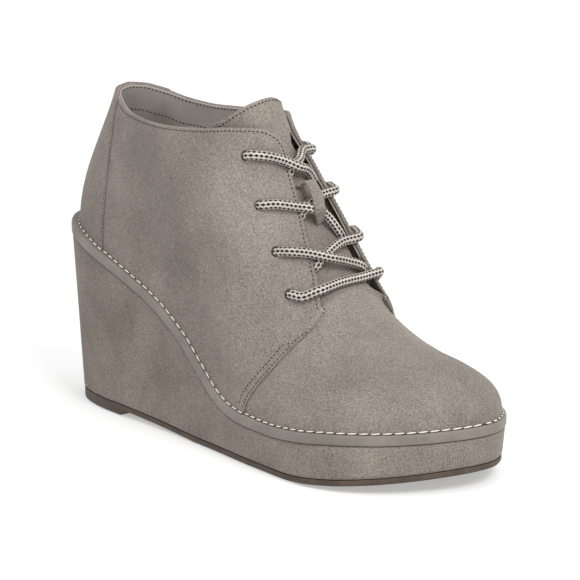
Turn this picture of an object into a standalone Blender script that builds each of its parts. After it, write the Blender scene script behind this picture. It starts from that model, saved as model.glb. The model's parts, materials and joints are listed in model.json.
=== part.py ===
"""Wedge ankle boot for a right foot: lace-up suede upper on a covered wedge.

+X is the toe, +Y the medial side, +Z up. The origin is on the floor under the
middle of the heel. Sizes in this file are millimetres; place() makes metres.
"""
import math

import bmesh
import bpy
from mathutils import Vector

MM = 0.001

# Driving sizes of the sole
SOLE_LENGTH = 239.8
ORIGIN_FROM_BACK = 32.0
TOE_TIP_Y = 8.0
WELT_HEIGHT = 4.3
WELT_WIDTH = 7.0
WELT_ROUNDING = 0.8
OUTSOLE_THICKNESS = 2.5
TOPLIFT_BACK = 9.8
TOPLIFT_FRONT = 57.0
TOPLIFT_STEP = 2.4
STEP_RUN = 3.5
ARCH_END = 112.0
SPRING_START = 176.0
TOE_SPRING = 7.2
WEDGE_SIDE_TAPER = 1.7
SEAM_GAP = 0.3
UPPER_GAP = 0.45

# Driving sizes of the upper
WALL = 1.5
QUARTER_RAISE = 0.9
STRIP_RAISE = 0.6
STRIP_T = 0.281
QUARTER_T = 0.5865
STEP_T = 0.0016
THROAT_T = 0.650
CLEARANCE = 0.35
INSOLE_RISE = 2.0
CORNER_T = 0.012

# Half widths of the sole at the welt; t runs from heel back (0) to toe tip (1)
OUTLINE = (
    ("t", "lateral", "medial"),
    (0.00, 0.0, 0.0),
    (0.10, 14.6, 14.3),
    (0.20, 25.9, 25.4),
    (0.30, 31.2, 30.6),
    (0.40, 33.2, 30.0),
    (0.50, 37.3, 30.2),
    (0.60, 42.7, 36.5),
    (0.69, 45.5, 43.5),
    (0.74, 42.6, 43.0),
    (0.80, 34.4, 38.6),
    (0.86, 22.4, 30.0),
    (0.92, 8.6, 20.6),
    (0.96, 0.4, 14.6),
    (1.00, -TOE_TIP_Y, TOE_TIP_Y),
)

# Height of the wedge's top edge over the floor
DECK = (
    ("x", "z"),
    (0.0, 75.0),
    (20.0, 71.0),
    (38.8, 66.3),
    (54.8, 62.0),
    (70.4, 56.8),
    (87.1, 50.0),
    (105.0, 39.8),
    (116.7, 30.8),
    (129.1, 22.0),
    (139.7, 17.8),
    (149.7, 16.4),
    (167.5, 16.0),
    (186.8, 17.2),
    (204.0, 18.8),
    (228.0, 20.2),
    (239.8, 21.0),
)

# How far the upper's foot stands inside the welt's edge
LEDGE = (
    ("t", "inset"),
    (0.00, 4.9),
    (0.15, 5.3),
    (0.28, 3.9),
    (0.36, 2.8),
    (0.56, 2.7),
    (0.62, 1.8),
    (1.00, 1.8),
)

# One row for each section of the upper. (x, y, z) is the section's top point,
# lean tips its foot outwards, rise and spread are the pull of foot and top,
# drop is the slope in degrees at which the section leaves its top point.
SECTION_NAMES = ("t", "x", "y", "z", "lean", "rise", "drop", "spread", "ahead")
LATERAL = (
    SECTION_NAMES,
    (0.000, 28.6, 0.0, 137.5, 0.02, 20.0, 72.0, 18.0, 0.0),
    (0.120, 31.0, -7.2, 136.6, 0.02, 20.0, 74.0, 18.0, 0.0),
    (0.200, 34.2, -10.6, 135.2, 0.02, 20.0, 76.0, 18.0, 0.0),
    (0.281, 39.2, -13.6, 133.4, 0.03, 20.0, 78.0, 18.0, 0.0),
    (0.340, 52.0, -18.4, 129.4, 0.05, 24.0, 80.0, 20.0, 0.0),
    (0.400, 72.0, -24.6, 128.6, 0.05, 26.0, 80.0, 22.0, 0.0),
    (0.450, 94.0, -29.2, 129.2, 0.05, 30.0, 80.0, 26.0, 2.0),
    (0.485, 113.6, -29.8, 130.6, 0.05, 32.0, 78.0, 30.0, 4.0),
    (0.510, 127.8, -25.8, 132.0, 0.05, 33.0, 72.0, 34.0, 6.0),
    (0.530, 137.2, -20.4, 132.2, 0.05, 33.0, 64.0, 38.0, 7.0),
    (0.542, 141.4, -15.2, 129.6, 0.05, 33.0, 58.0, 38.0, 8.0),
    (0.551, 142.8, -10.6, 121.0, 0.05, 31.0, 52.0, 36.0, 8.0),
    (0.560, 149.4, -10.8, 106.5, 0.05, 28.0, 51.0, 32.0, 7.0),
    (0.569, 157.4, -12.6, 91.0, 0.06, 24.0, 51.0, 28.0, 6.0),
    (0.578, 165.4, -14.8, 76.5, 0.07, 19.0, 50.0, 23.0, 5.0),
    (0.585, 171.8, -17.8, 66.0, 0.08, 15.0, 50.0, 18.0, 3.0),
    (0.5882, 173.0, -18.4, 64.6, 0.08, 14.0, 48.0, 17.0, 4.0),
    (0.610, 173.3, -12.0, 67.5, 0.08, 14.0, 32.0, 18.0, 6.0),
    (0.630, 173.5, -5.8, 69.0, 0.08, 15.0, 18.0, 19.5, 7.0),
    (0.650, 173.6, 0.5, 69.5, 0.08, 15.0, 9.0, 21.0, 7.0),
    (0.675, 179.6, 1.0, 62.2, 0.08, 15.0, 6.0, 21.0, 5.5),
    (0.705, 188.0, 1.8, 56.0, 0.08, 14.0, 5.0, 20.5, 3.0),
    (0.740, 198.5, 3.0, 52.0, 0.08, 13.0, 6.0, 19.5, 1.0),
    (0.785, 207.5, 4.4, 49.2, 0.08, 13.0, 10.0, 18.0, 0.0),
    (0.840, 214.6, 5.8, 46.6, 0.08, 12.0, 15.0, 15.0, 0.0),
    (0.900, 219.6, 7.0, 43.8, 0.08, 11.0, 24.0, 11.0, 0.0),
    (0.950, 222.6, 7.6, 41.8, 0.07, 10.0, 30.0, 8.0, 0.0),
    (1.000, 224.6, 8.0, 40.2, 0.06, 9.0, 38.0, 6.0, 0.0),
)
MEDIAL = (
    SECTION_NAMES,
    (0.000, 28.6, 0.0, 137.5, 0.02, 20.0, 72.0, 18.0, 0.0),
    (0.120, 31.0, 7.6, 136.6, 0.02, 20.0, 74.0, 18.0, 0.0),
    (0.200, 33.8, 11.0, 135.4, 0.02, 20.0, 76.0, 18.0, 0.0),
    (0.281, 38.0, 14.2, 134.0, 0.03, 20.0, 78.0, 18.0, 0.0),
    (0.340, 46.5, 19.2, 131.0, 0.05, 24.0, 80.0, 20.0, 0.0),
    (0.400, 61.0, 25.2, 129.0, 0.05, 26.0, 80.0, 22.0, 0.0),
    (0.450, 79.0, 28.8, 129.0, 0.05, 30.0, 80.0, 26.0, 2.0),
    (0.485, 95.0, 27.2, 130.4, 0.05, 32.0, 78.0, 28.0, 4.0),
    (0.510, 106.5, 21.0, 132.0, 0.05, 33.0, 76.0, 32.0, 5.0),
    (0.530, 116.0, 13.8, 133.2, 0.05, 33.0, 70.0, 34.0, 6.0),
    (0.542, 122.4, 8.8, 131.8, 0.05, 33.0, 62.0, 34.0, 6.0),
    (0.551, 129.4, 6.4, 126.0, 0.05, 31.0, 56.0, 33.0, 6.0),
    (0.560, 142.6, 6.4, 112.4, 0.05, 28.0, 54.0, 30.0, 5.0),
    (0.569, 154.6, 8.4, 96.2, 0.06, 24.0, 53.0, 26.0, 4.0),
    (0.578, 164.4, 12.2, 79.0, 0.07, 19.0, 52.0, 22.0, 3.0),
    (0.585, 171.4, 15.8, 66.2, 0.08, 15.0, 50.0, 17.0, 1.5),
    (0.5882, 172.6, 16.6, 64.2, 0.08, 14.0, 48.0, 16.0, 2.0),
    (0.610, 173.2, 11.8, 67.0, 0.08, 14.0, 35.0, 15.0, 2.0),
    (0.630, 173.4, 6.2, 68.8, 0.08, 14.0, 22.0, 15.0, 3.0),
    (0.650, 173.6, 0.5, 69.5, 0.08, 14.0, 12.0, 15.0, 3.5),
    (0.675, 179.6, 1.0, 62.2, 0.08, 13.0, 8.0, 15.5, 3.0),
    (0.705, 188.0, 1.8, 56.0, 0.08, 13.0, 7.0, 15.5, 1.5),
    (0.740, 198.5, 3.0, 52.0, 0.08, 12.0, 8.0, 15.5, 1.0),
    (0.785, 207.5, 4.4, 49.2, 0.08, 12.0, 10.0, 15.0, 0.0),
    (0.840, 214.6, 5.8, 46.6, 0.08, 12.0, 15.0, 13.0, 0.0),
    (0.900, 219.6, 7.0, 43.8, 0.08, 11.0, 24.0, 11.0, 0.0),
    (0.950, 222.6, 7.6, 41.8, 0.07, 10.0, 30.0, 8.0, 0.0),
    (1.000, 224.6, 8.0, 40.2, 0.06, 9.0, 38.0, 6.0, 0.0),
)

# Punched holes for the lace, as places on the upper's surface, bottom pair first
EYELETS = (
    ("lateral_t", "lateral_v", "medial_t", "medial_v"),
    (0.574, 0.76, 0.576, 0.74),
    (0.562, 0.76, 0.563, 0.74),
    (0.546, 0.77, 0.552, 0.78),
    (0.526, 0.90, 0.530, 0.86),
)
EYELET_RADIUS = 2.2
EYELET_SIDES = 12

# The tongue's two top sections, from its lateral edge (w = 0) to its medial edge
TONGUE_WALL = 1.6
TONGUE_GAP_LATERAL = 0.7
TONGUE_GAP_MEDIAL = 2.2
TONGUE_EDGE_V = 0.80
TONGUE_ARCH = 0.27
TONGUE_COLLAR = (
    ("w", "x", "y", "z"),
    (0.00, 114.5, -26.2, 126.0),
    (0.15, 124.6, -23.0, 128.0),
    (0.30, 135.0, -15.0, 127.0),
    (0.50, 136.0, -4.0, 129.4),
    (0.70, 123.0, 5.6, 130.0),
    (0.85, 112.0, 14.0, 129.0),
    (1.00, 100.0, 21.5, 127.0),
)
TONGUE_TOP = (
    ("w", "x", "y", "z"),
    (0.00, 117.0, -27.3, 131.5),
    (0.25, 128.6, -18.0, 140.8),
    (0.42, 130.2, -8.0, 143.0),
    (0.55, 128.8, -1.6, 141.4),
    (0.66, 124.6, 3.0, 136.4),
    (0.80, 116.5, 8.6, 133.0),
    (1.00, 103.0, 18.0, 130.5),
)

# The lace: where each strand passes over or comes out from under a facing's edge
LACE_RADIUS = 1.9
LACE_JOIN = 2.4
LACE_ROWS = (
    ("eyelet", "lateral_over", "medial_over", "lateral_under", "medial_under", "lift"),
    (2, 0.5743, 0.5715, 0.5768, 0.5800, 0.3),
    (3, 0.5625, 0.5613, 0.5650, 0.5695, 0.3),
    (4, 0.5520, 0.5507, 0.5545, 0.5580, 1.5),
)
BAR_T = (0.5835, 0.5805)

# The keeper: a strap on the tongue that the lace passes under
KEEPER_T = (0.5600, 0.5712)
KEEPER_W = (0.43, 0.50)
KEEPER_HALF_WIDTH = 0.06
KEEPER_RISE = 8.8
KEEPER_WALL = 1.2

SIDES = (-1, 1)
SOLE_STEPS = 36
WALL_STEPS = 12


def place(point):
    """A point in millimetres from the heel's back, as metres from the origin."""
    x, y, z = point
    return Vector(((x - ORIGIN_FROM_BACK) * MM, y * MM, z * MM))


def smooth(rows, key, at):
    """Monotone cubic through one named column of a table."""
    names = rows[0]
    index = names.index(key)
    xs = [row[0] for row in rows[1:]]
    ys = [row[index] for row in rows[1:]]
    last = len(xs) - 1
    if at <= xs[0]:
        return ys[0]
    if at >= xs[last]:
        return ys[last]
    i = max(k for k in range(last) if xs[k] <= at)

    def secant(k):
        return (ys[k + 1] - ys[k]) / (xs[k + 1] - xs[k])

    def slope(k):
        if k == 0:
            return secant(0)
        if k == last:
            return secant(last - 1)
        before, after = secant(k - 1), secant(k)
        if before * after <= 0:
            return 0.0
        wide = xs[k + 1] - xs[k]
        near = xs[k] - xs[k - 1]
        first, second = 2 * wide + near, wide + 2 * near
        return (first + second) / (first / before + second / after)

    span = xs[i + 1] - xs[i]
    w = (at - xs[i]) / span
    return (
        (1 + 2 * w) * (1 - w) ** 2 * ys[i]
        + w * (1 - w) ** 2 * span * slope(i)
        + w * w * (3 - 2 * w) * ys[i + 1]
        + w * w * (w - 1) * span * slope(i + 1)
    )


def edge_point(side, t):
    """Plan point on the welt's outer edge."""
    x = SOLE_LENGTH * (1 - math.cos(math.pi * t)) / 2
    key = "lateral" if side < 0 else "medial"
    return Vector((x, side * smooth(OUTLINE, key, t), 0.0))


def outward(side, t):
    """Plan direction square to the welt's edge, pointing away from the foot."""
    step = 0.004
    if t <= step:
        return Vector((-1.0, 0.0, 0.0))
    if t >= 1 - step:
        return Vector((1.0, 0.0, 0.0))
    run = edge_point(side, t + step) - edge_point(side, t - step)
    return Vector((-side * run.y, side * run.x, 0.0)).normalized()


def rim(side, t, inset):
    return edge_point(side, t) - outward(side, t) * inset


def deck(x):
    return smooth(DECK, "z", x)


def welt_top(x):
    """Top of the welt: its height is measured square to the sloping deck."""
    slope = (deck(x + 1.0) - deck(x - 1.0)) / 2.0
    return deck(x) + WELT_HEIGHT * math.sqrt(1.0 + slope * slope)


def ground(x):
    """Underside of the outsole: toplift, raised arch, flat tread, toe spring."""
    if x <= TOPLIFT_FRONT:
        return 0.0
    step_end = TOPLIFT_FRONT + STEP_RUN
    if x < step_end:
        return TOPLIFT_STEP * (x - TOPLIFT_FRONT) / STEP_RUN
    if x < ARCH_END:
        return TOPLIFT_STEP * (ARCH_END - x) / (ARCH_END - step_end)
    if x <= SPRING_START:
        return 0.0
    return TOE_SPRING * ((x - SPRING_START) / (SOLE_LENGTH - SPRING_START)) ** 1.5


def outsole_top(x):
    """The toplift is thicker than the forefoot by its step."""
    if x <= TOPLIFT_FRONT:
        return TOPLIFT_STEP + OUTSOLE_THICKNESS
    if x < ARCH_END:
        share = (ARCH_END - x) / (ARCH_END - TOPLIFT_FRONT)
        return OUTSOLE_THICKNESS + TOPLIFT_STEP * share
    return ground(x) + OUTSOLE_THICKNESS


def bottom_point(side, t, extra):
    """Plan point on the wedge's lower edge, drawn in at the heel's back."""
    point = rim(side, t, WEDGE_SIDE_TAPER + extra)
    heel_reach = 70.0
    fade = max(0.0, 1.0 - point.x / heel_reach)
    point.x += (TOPLIFT_BACK - WEDGE_SIDE_TAPER) * fade * fade
    return point


def at_height(point, height):
    return Vector((point.x, point.y, height(point.x)))


def t_at(x):
    """Outline parameter of a station measured from the heel's back."""
    return math.acos(1.0 - 2.0 * x / SOLE_LENGTH) / math.pi


def sole_stations(extra=()):
    """Even stations, closer together where the deck turns up from the platform."""
    regular = [i / SOLE_STEPS for i in range(SOLE_STEPS + 1)]
    turn = [t_at(x) for x in (112.0, 118.0, 124.0, 130.0, 136.0, 142.0)]
    wanted = sorted(turn + list(extra))
    near = 0.4 / SOLE_STEPS
    kept = [t for t in regular if all(abs(t - e) > near for e in wanted)]
    return sorted(kept + wanted)


def add_loop(bm, stations, point):
    """A closed ring of vertices: lateral side heel to toe, then medial back."""
    lateral = [bm.verts.new(place(point(-1, t))) for t in stations]
    medial = [bm.verts.new(place(point(1, t))) for t in stations[1:-1]]
    return lateral + medial[::-1]


def bridge(bm, lower, upper):
    count = len(lower)
    for i in range(count):
        j = (i + 1) % count
        bm.faces.new((lower[i], lower[j], upper[j], upper[i]))


def cap(bm, loop):
    """Close a ring with strips that run straight across the foot."""
    half = len(loop) // 2
    lateral = loop[: half + 1]
    medial = [loop[0]] + loop[: half - 1 : -1]
    for i in range(half):
        corners = (lateral[i], lateral[i + 1], medial[i + 1], medial[i])
        unique = [c for k, c in enumerate(corners) if c not in corners[:k]]
        bm.faces.new(unique)


def material(name, colour, roughness, metallic=0.0):
    mat = bpy.data.materials.new(name)
    mat.use_nodes = True
    shader = mat.node_tree.nodes["Principled BSDF"]
    shader.inputs["Base Color"].default_value = (*colour, 1.0)
    shader.inputs["Roughness"].default_value = roughness
    shader.inputs["Metallic"].default_value = metallic
    return mat


def finish(bm, name, collection, mat, sharp=35.0):
    bmesh.ops.recalc_face_normals(bm, faces=bm.faces)
    mesh = bpy.data.meshes.new(name)
    bm.to_mesh(mesh)
    bm.free()
    mesh.materials.append(mat)
    mesh.shade_smooth()
    mesh.set_sharp_from_angle(angle=math.radians(sharp))
    obj = bpy.data.objects.new(name, mesh)
    collection.objects.link(obj)
    return obj


def slab(name, collection, mat, stations, levels):
    """A closed solid from rings of points, lowest ring first."""
    bm = bmesh.new()
    loops = [add_loop(bm, stations, level) for level in levels]
    for lower, upper in zip(loops, loops[1:]):
        bridge(bm, lower, upper)
    cap(bm, loops[0])
    cap(bm, loops[-1])
    return finish(bm, name, collection, mat)


def make_outsole(collection, mat):
    stations = sole_stations((t_at(TOPLIFT_FRONT), t_at(TOPLIFT_FRONT + STEP_RUN)))
    tread_inset = 1.2
    levels = (
        lambda side, t: at_height(bottom_point(side, t, tread_inset), ground),
        lambda side, t: at_height(bottom_point(side, t, 0.2), lambda x: ground(x) + 0.9),
        lambda side, t: at_height(bottom_point(side, t, 0.0), outsole_top),
    )
    return slab("outsole", collection, mat, stations, levels)


def make_wedge(collection, mat):
    """The covered block; its lower edge is rounded where the cover turns under."""
    turn = 1.6
    base = lambda x: outsole_top(x) + SEAM_GAP
    levels = (
        lambda side, t: at_height(bottom_point(side, t, 1.0), base),
        lambda side, t: at_height(bottom_point(side, t, -0.3), lambda x: base(x) + turn),
        lambda side, t: at_height(rim(side, t, 0.5), lambda x: deck(x) - 1.2),
        lambda side, t: at_height(rim(side, t, 1.3), deck),
    )
    return slab("wedge", collection, mat, sole_stations(), levels)


def make_welt(collection, mat):
    base = lambda x: deck(x) + SEAM_GAP
    shoulder = lambda x: welt_top(x) - WELT_ROUNDING
    profile = (
        (WELT_WIDTH, base),
        (WELT_ROUNDING, base),
        (0.0, lambda x: base(x) + WELT_ROUNDING),
        (0.0, shoulder),
        (WELT_ROUNDING, welt_top),
        (WELT_WIDTH, welt_top),
    )
    bm = bmesh.new()
    loops = []
    for inset, height in profile:
        point = lambda side, t, i=inset, h=height: at_height(rim(side, t, i), h)
        loops.append(add_loop(bm, sole_stations(), point))
    for lower, upper in zip(loops, loops[1:] + loops[:1]):
        bridge(bm, lower, upper)
    return finish(bm, "welt", collection, mat)


def make_insole(collection, mat):
    """The board fills the welt's ring; the footbed on it reaches the wall."""
    board = WELT_WIDTH + SEAM_GAP
    footbed = lambda side, t, extra: rim(side, t, smooth(LEDGE, "inset", t) + WALL + 0.7 + extra)
    seat = lambda x: welt_top(x) + SEAM_GAP
    levels = (
        lambda side, t: at_height(rim(side, t, board), lambda x: deck(x) + SEAM_GAP),
        lambda side, t: at_height(rim(side, t, board), seat),
        lambda side, t: at_height(footbed(side, t, 0.0), seat),
        lambda side, t: at_height(footbed(side, t, 0.3), lambda x: seat(x) + INSOLE_RISE),
    )
    return slab("insole", collection, mat, sole_stations(), levels)


def upper_foot(side, t):
    point = rim(side, t, smooth(LEDGE, "inset", t))
    return at_height(point, lambda x: welt_top(x) + UPPER_GAP)


def top_points(rows, t):
    """The section's top point, and its mean with both neighbours: the wall below
    a corner of the top edge follows the mean, so that the corner makes no crease."""
    points = []
    for at in (t - CORNER_T, t, t + CORNER_T):
        points.append(Vector([smooth(rows, key, at) for key in ("x", "y", "z")]))
    return points[1], (points[0] + points[1] + points[2]) / 3.0


def surface(side, t, v):
    """Outer face of the thin wall: v runs from the foot (0) to the top (1)."""
    rows = LATERAL if side < 0 else MEDIAL
    value = {key: smooth(rows, key, t) for key in SECTION_NAMES[4:]}
    away = outward(side, t)
    foot = upper_foot(side, t)
    top, eased = top_points(rows, t)
    low = foot + value["rise"] * (Vector((0.0, 0.0, 1.0)) + value["lean"] * away)
    drop = math.radians(value["drop"])
    pull = away * math.cos(drop) - Vector((0.0, 0.0, math.sin(drop)))
    high = eased + value["spread"] * pull + Vector((value["ahead"], 0.0, 0.0))
    w = 1.0 - v
    return w ** 3 * foot + 3 * w * w * v * low + 3 * w * v * v * high + v ** 3 * top


def surface_normal(side, t, v):
    dt, dv = 0.002, 0.01
    along = surface(side, min(1.0, t + dt), v) - surface(side, max(0.0, t - dt), v)
    up = surface(side, t, min(1.0, v + dv)) - surface(side, t, max(0.0, v - dv))
    return along.cross(up).normalized() * -side


def upper_stations():
    """Section places: the table's rows with one between, and doubled at steps."""
    rows = [row[0] for row in LATERAL[1:]]
    between = [(a + b) / 2 for a, b in zip(rows, rows[1:])]
    stations = set(rows + between)
    stations.discard(STRIP_T)
    stations.update((STRIP_T - STEP_T, STRIP_T + STEP_T))
    stations = {t for t in stations if abs(t - QUARTER_T) > 1.5 * STEP_T}
    stations.update((QUARTER_T - STEP_T / 2, QUARTER_T + STEP_T / 2))
    return sorted(stations)


def raise_at(t):
    """Extra thickness of the quarter and of the heel strip on the thin wall."""
    if t < STRIP_T:
        return QUARTER_RAISE + STRIP_RAISE
    if t < QUARTER_T:
        return QUARTER_RAISE
    return 0.0


def make_upper(collection, mat):
    stations = upper_stations()
    bm = bmesh.new()
    lift = {}
    grids = {}
    last = len(stations) - 1
    closed = [k for k, t in enumerate(stations) if t >= THROAT_T]
    for side in SIDES:
        grid = []
        for i, t in enumerate(stations):
            column = []
            for j in range(WALL_STEPS + 1):
                shared = side > 0 and (i in (0, last) or (j == WALL_STEPS and i in closed))
                if shared:
                    column.append(grids[-1][i][j])
                    continue
                vert = bm.verts.new(surface(side, t, j / WALL_STEPS))
                lift[vert] = raise_at(t)
                column.append(vert)
            grid.append(column)
        grids[side] = grid
        for i in range(last):
            for j in range(WALL_STEPS):
                quad = (grid[i][j], grid[i + 1][j], grid[i + 1][j + 1], grid[i][j + 1])
                bm.faces.new(quad if side < 0 else quad[::-1])
    bm.normal_update()
    inner = thicken(bm, lift, WALL)
    for foot in {column[0] for grid in grids.values() for column in grid}:
        for vert in (foot, inner[foot]):
            vert.co.z = welt_top(vert.co.x) + UPPER_GAP
    place_all(bm)
    return finish(bm, "upper", collection, mat)


def thicken(bm, lift, wall):
    """Turn an open sheet into a closed wall: outer face raised, inner face set in."""
    sheet_faces = list(bm.faces)
    border = [edge for edge in bm.edges if edge.is_boundary]
    inner = {}
    for vert in list(bm.verts):
        inner[vert] = bm.verts.new(vert.co - vert.normal * wall)
    for face in sheet_faces:
        bm.faces.new([inner[v] for v in reversed(face.verts)])
    for edge in border:
        a, b = edge.verts
        bm.faces.new((b, a, inner[a], inner[b]))
    for vert, raised in lift.items():
        vert.co += vert.normal * raised
    return inner


def place_all(bm):
    for vert in bm.verts:
        vert.co = place(vert.co)


def eyelet_spot(side, number):
    """Place of an eyelet on the surface, as (t, v)."""
    row = EYELETS[number]
    return row[:2] if side < 0 else row[2:]


def punch_eyelets(upper, cutters):
    """Eight round holes through the facings, square to the surface."""
    depth = 12.0
    for side in SIDES:
        for number in range(1, len(EYELETS)):
            t, v = eyelet_spot(side, number)
            centre = surface(side, t, v)
            axis = surface_normal(side, t, v)
            bm = bmesh.new()
            radius = EYELET_RADIUS * MM
            bmesh.ops.create_cone(
                bm, cap_ends=True, segments=EYELET_SIDES,
                radius1=radius, radius2=radius, depth=depth * MM,
            )
            turn = Vector((0.0, 0.0, 1.0)).rotation_difference(axis).to_matrix()
            bmesh.ops.rotate(bm, matrix=turn, verts=bm.verts)
            bmesh.ops.translate(bm, vec=place(centre), verts=bm.verts)
            mesh = bpy.data.meshes.new("eyelet_punch")
            bm.to_mesh(mesh)
            bm.free()
            cutter = bpy.data.objects.new("eyelet_punch", mesh)
            cutter.hide_render = True
            cutter.display_type = "WIRE"
            cutters.objects.link(cutter)
            cut = upper.modifiers.new(f"eyelet_{side}_{number}", "BOOLEAN")
            cut.operation = "DIFFERENCE"
            cut.solver = "EXACT"
            cut.object = cutter


def under_wall(side, t, v):
    """Outer face of what lies under the upper's wall, further in on the medial side."""
    gap = TONGUE_GAP_LATERAL if side < 0 else TONGUE_GAP_MEDIAL
    return surface(side, t, v) - (WALL + gap) * surface_normal(side, t, v)


def mirrored(build):
    """Points of the lateral half, the middle, then the medial half turned round."""
    lateral, medial = build(-1), build(1)
    return lateral + medial[-2::-1]


def vamp_section(t):
    """Tongue section that is still under the vamp: it crosses the ridge."""
    levels = (0.70, 0.76, 0.82, 0.87, 0.92, 0.96, 1.0)
    return mirrored(lambda side: [under_wall(side, t, v) for v in levels])


def edge_levels():
    return [TONGUE_EDGE_V + (1.0 - TONGUE_EDGE_V) * k / 3 for k in range(4)]


def throat_section(t):
    """Tongue section along the throat's lower end."""
    across = [t + (THROAT_T - t) * share for share in (0.35, 0.7, 1.0)]

    def half(side):
        flank = [under_wall(side, t, v) for v in edge_levels()]
        return flank + [under_wall(side, s, 1.0) for s in across]

    return mirrored(half)


def facing_section(t):
    """Tongue section that spans the open throat between the two facings."""
    flanks = {side: [under_wall(side, t, v) for v in edge_levels()] for side in SIDES}
    start, end = flanks[-1][-1], flanks[1][-1]
    pull = TONGUE_ARCH * (end - start).length
    rise_l = (start - flanks[-1][-2]).normalized() * pull
    rise_m = (end - flanks[1][-2]).normalized() * pull
    low, high = start + rise_l, end + rise_m
    span = []
    for k in range(1, 6):
        v = k / 6
        w = 1.0 - v
        span.append(w ** 3 * start + 3 * w * w * v * low + 3 * w * v * v * high + v ** 3 * end)
    return flanks[-1] + span + flanks[1][::-1]


def table_section(rows):
    return [Vector([smooth(rows, key, k / 12) for key in ("x", "y", "z")]) for k in range(13)]


def make_tongue(collection, mat):
    sections = [vamp_section(0.700), vamp_section(0.672), throat_section(0.5882)]
    sections += [facing_section(t) for t in (0.585, 0.578, 0.5735, 0.569, 0.5645, 0.560, 0.5555)]
    sections += [table_section(TONGUE_COLLAR), table_section(TONGUE_TOP)]
    bm = bmesh.new()
    grid = [[bm.verts.new(point) for point in section] for section in sections]
    for below, above in zip(grid, grid[1:]):
        for i in range(len(below) - 1):
            bm.faces.new((below[i], below[i + 1], above[i + 1], above[i]))
    bm.normal_update()
    thicken(bm, {}, TONGUE_WALL)
    place_all(bm)
    return finish(bm, "tongue", collection, mat)


def over_facing(side, t, v):
    """Middle of a cord that lies on the quarter."""
    height = QUARTER_RAISE + CLEARANCE + LACE_RADIUS
    return surface(side, t, v) + height * surface_normal(side, t, v)


def over_eyelet(side, number):
    t, v = eyelet_spot(side, number)
    return over_facing(side, t, v)


def tongue_at(t, w):
    points = facing_section(t)
    spot = w * (len(points) - 1)
    i = min(int(spot), len(points) - 2)
    return points[i].lerp(points[i + 1], spot - i)


def above_tongue(t, w, height):
    across = tongue_at(t, w + 0.04) - tongue_at(t, w - 0.04)
    along = tongue_at(t - 0.003, w) - tongue_at(t + 0.003, w)
    return tongue_at(t, w) + height * across.cross(along).normalized()


def cord(name, points):
    """A round cord through the points, closed at both ends."""
    curve = bpy.data.curves.new(name, "CURVE")
    curve.dimensions = "3D"
    curve.resolution_u = 4
    curve.bevel_depth = LACE_RADIUS * MM
    curve.bevel_resolution = 2
    curve.use_fill_caps = True
    spline = curve.splines.new("BEZIER")
    spline.bezier_points.add(len(points) - 1)
    for knot, point in zip(spline.bezier_points, points):
        knot.co = place(point)
        knot.handle_left_type = "AUTO"
        knot.handle_right_type = "AUTO"
    helper = bpy.data.objects.new(name, curve)
    bpy.context.scene.collection.objects.link(helper)
    depsgraph = bpy.context.evaluated_depsgraph_get()
    mesh = bpy.data.meshes.new_from_object(helper.evaluated_get(depsgraph))
    bpy.data.objects.remove(helper, do_unlink=True)
    bm = bmesh.new()
    bm.from_mesh(mesh)
    bmesh.ops.remove_doubles(bm, verts=bm.verts, dist=1e-6)
    return bm


def facing_run(side, over, number, lift=0.0):
    """From the facing's edge to the eyelet, along the quarter."""
    t, v = eyelet_spot(side, number)
    return [
        over_facing(side, over, 0.99) + lift * surface_normal(side, over, 0.97),
        over_facing(side, (over + t) / 2, (0.99 + v) / 2),
        over_eyelet(side, number),
    ]


def make_lace_bar(collection, mat):
    """The lowest run goes straight over both facings, clear of the tongue."""
    lateral = facing_run(-1, BAR_T[0], 1)
    medial = facing_run(1, BAR_T[1], 1)
    middle = [above_tongue(sum(BAR_T) / 2, w, LACE_RADIUS + 0.8) for w in (0.42, 0.58)]
    bm = cord("lace_bar", lateral[::-1] + middle + medial)
    return finish(bm, "lace_bar", collection, mat)


def make_lace_crossing(index, collection, cutters, mat):
    number, lateral_over, medial_over, lateral_under, medial_under, lift = LACE_ROWS[index]
    low = LACE_RADIUS + CLEARANCE + lift
    high = low + LACE_JOIN
    lower = [
        above_tongue(lateral_under, 0.36, low),
        above_tongue((lateral_under + medial_over) / 2, 0.5, low),
    ]
    lower += facing_run(1, medial_over, number, lift)
    upper = [
        above_tongue(medial_under, 0.64, low),
        above_tongue((medial_under + lateral_over) / 2, 0.5, high),
    ]
    upper += facing_run(-1, lateral_over, number, lift)
    name = f"lace_crossing_{index}"
    crossing = finish(cord(name, lower), name, collection, mat)
    strand = finish(cord("upper_strand", upper), "upper_strand", cutters, mat)
    strand.hide_render = True
    strand.display_type = "WIRE"
    join = crossing.modifiers.new("join", "BOOLEAN")
    join.operation = "UNION"
    join.solver = "EXACT"
    join.object = strand
    return crossing


def make_keeper(collection, mat):
    """A strap in an arch: both feet near the tongue, room for the lace under it."""
    steps = 12
    bm = bmesh.new()
    rows = []
    foot = KEEPER_WALL + CLEARANCE
    for k in range(steps + 1):
        share = k / steps
        t = KEEPER_T[0] + (KEEPER_T[1] - KEEPER_T[0]) * share
        height = foot + (KEEPER_RISE - foot) * math.sin(math.pi * share) ** 0.6
        middle = KEEPER_W[0] + (KEEPER_W[1] - KEEPER_W[0]) * share
        sides = (middle - KEEPER_HALF_WIDTH, middle + KEEPER_HALF_WIDTH)
        rows.append([bm.verts.new(above_tongue(t, w, height)) for w in sides])
    for above, below in zip(rows, rows[1:]):
        bm.faces.new((below[0], below[1], above[1], above[0]))
    bm.normal_update()
    thicken(bm, {}, KEEPER_WALL)
    place_all(bm)
    return finish(bm, "lace_keeper", collection, mat)


def new_collection(name):
    collection = bpy.data.collections.new(name)
    bpy.context.scene.collection.children.link(collection)
    return collection


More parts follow.
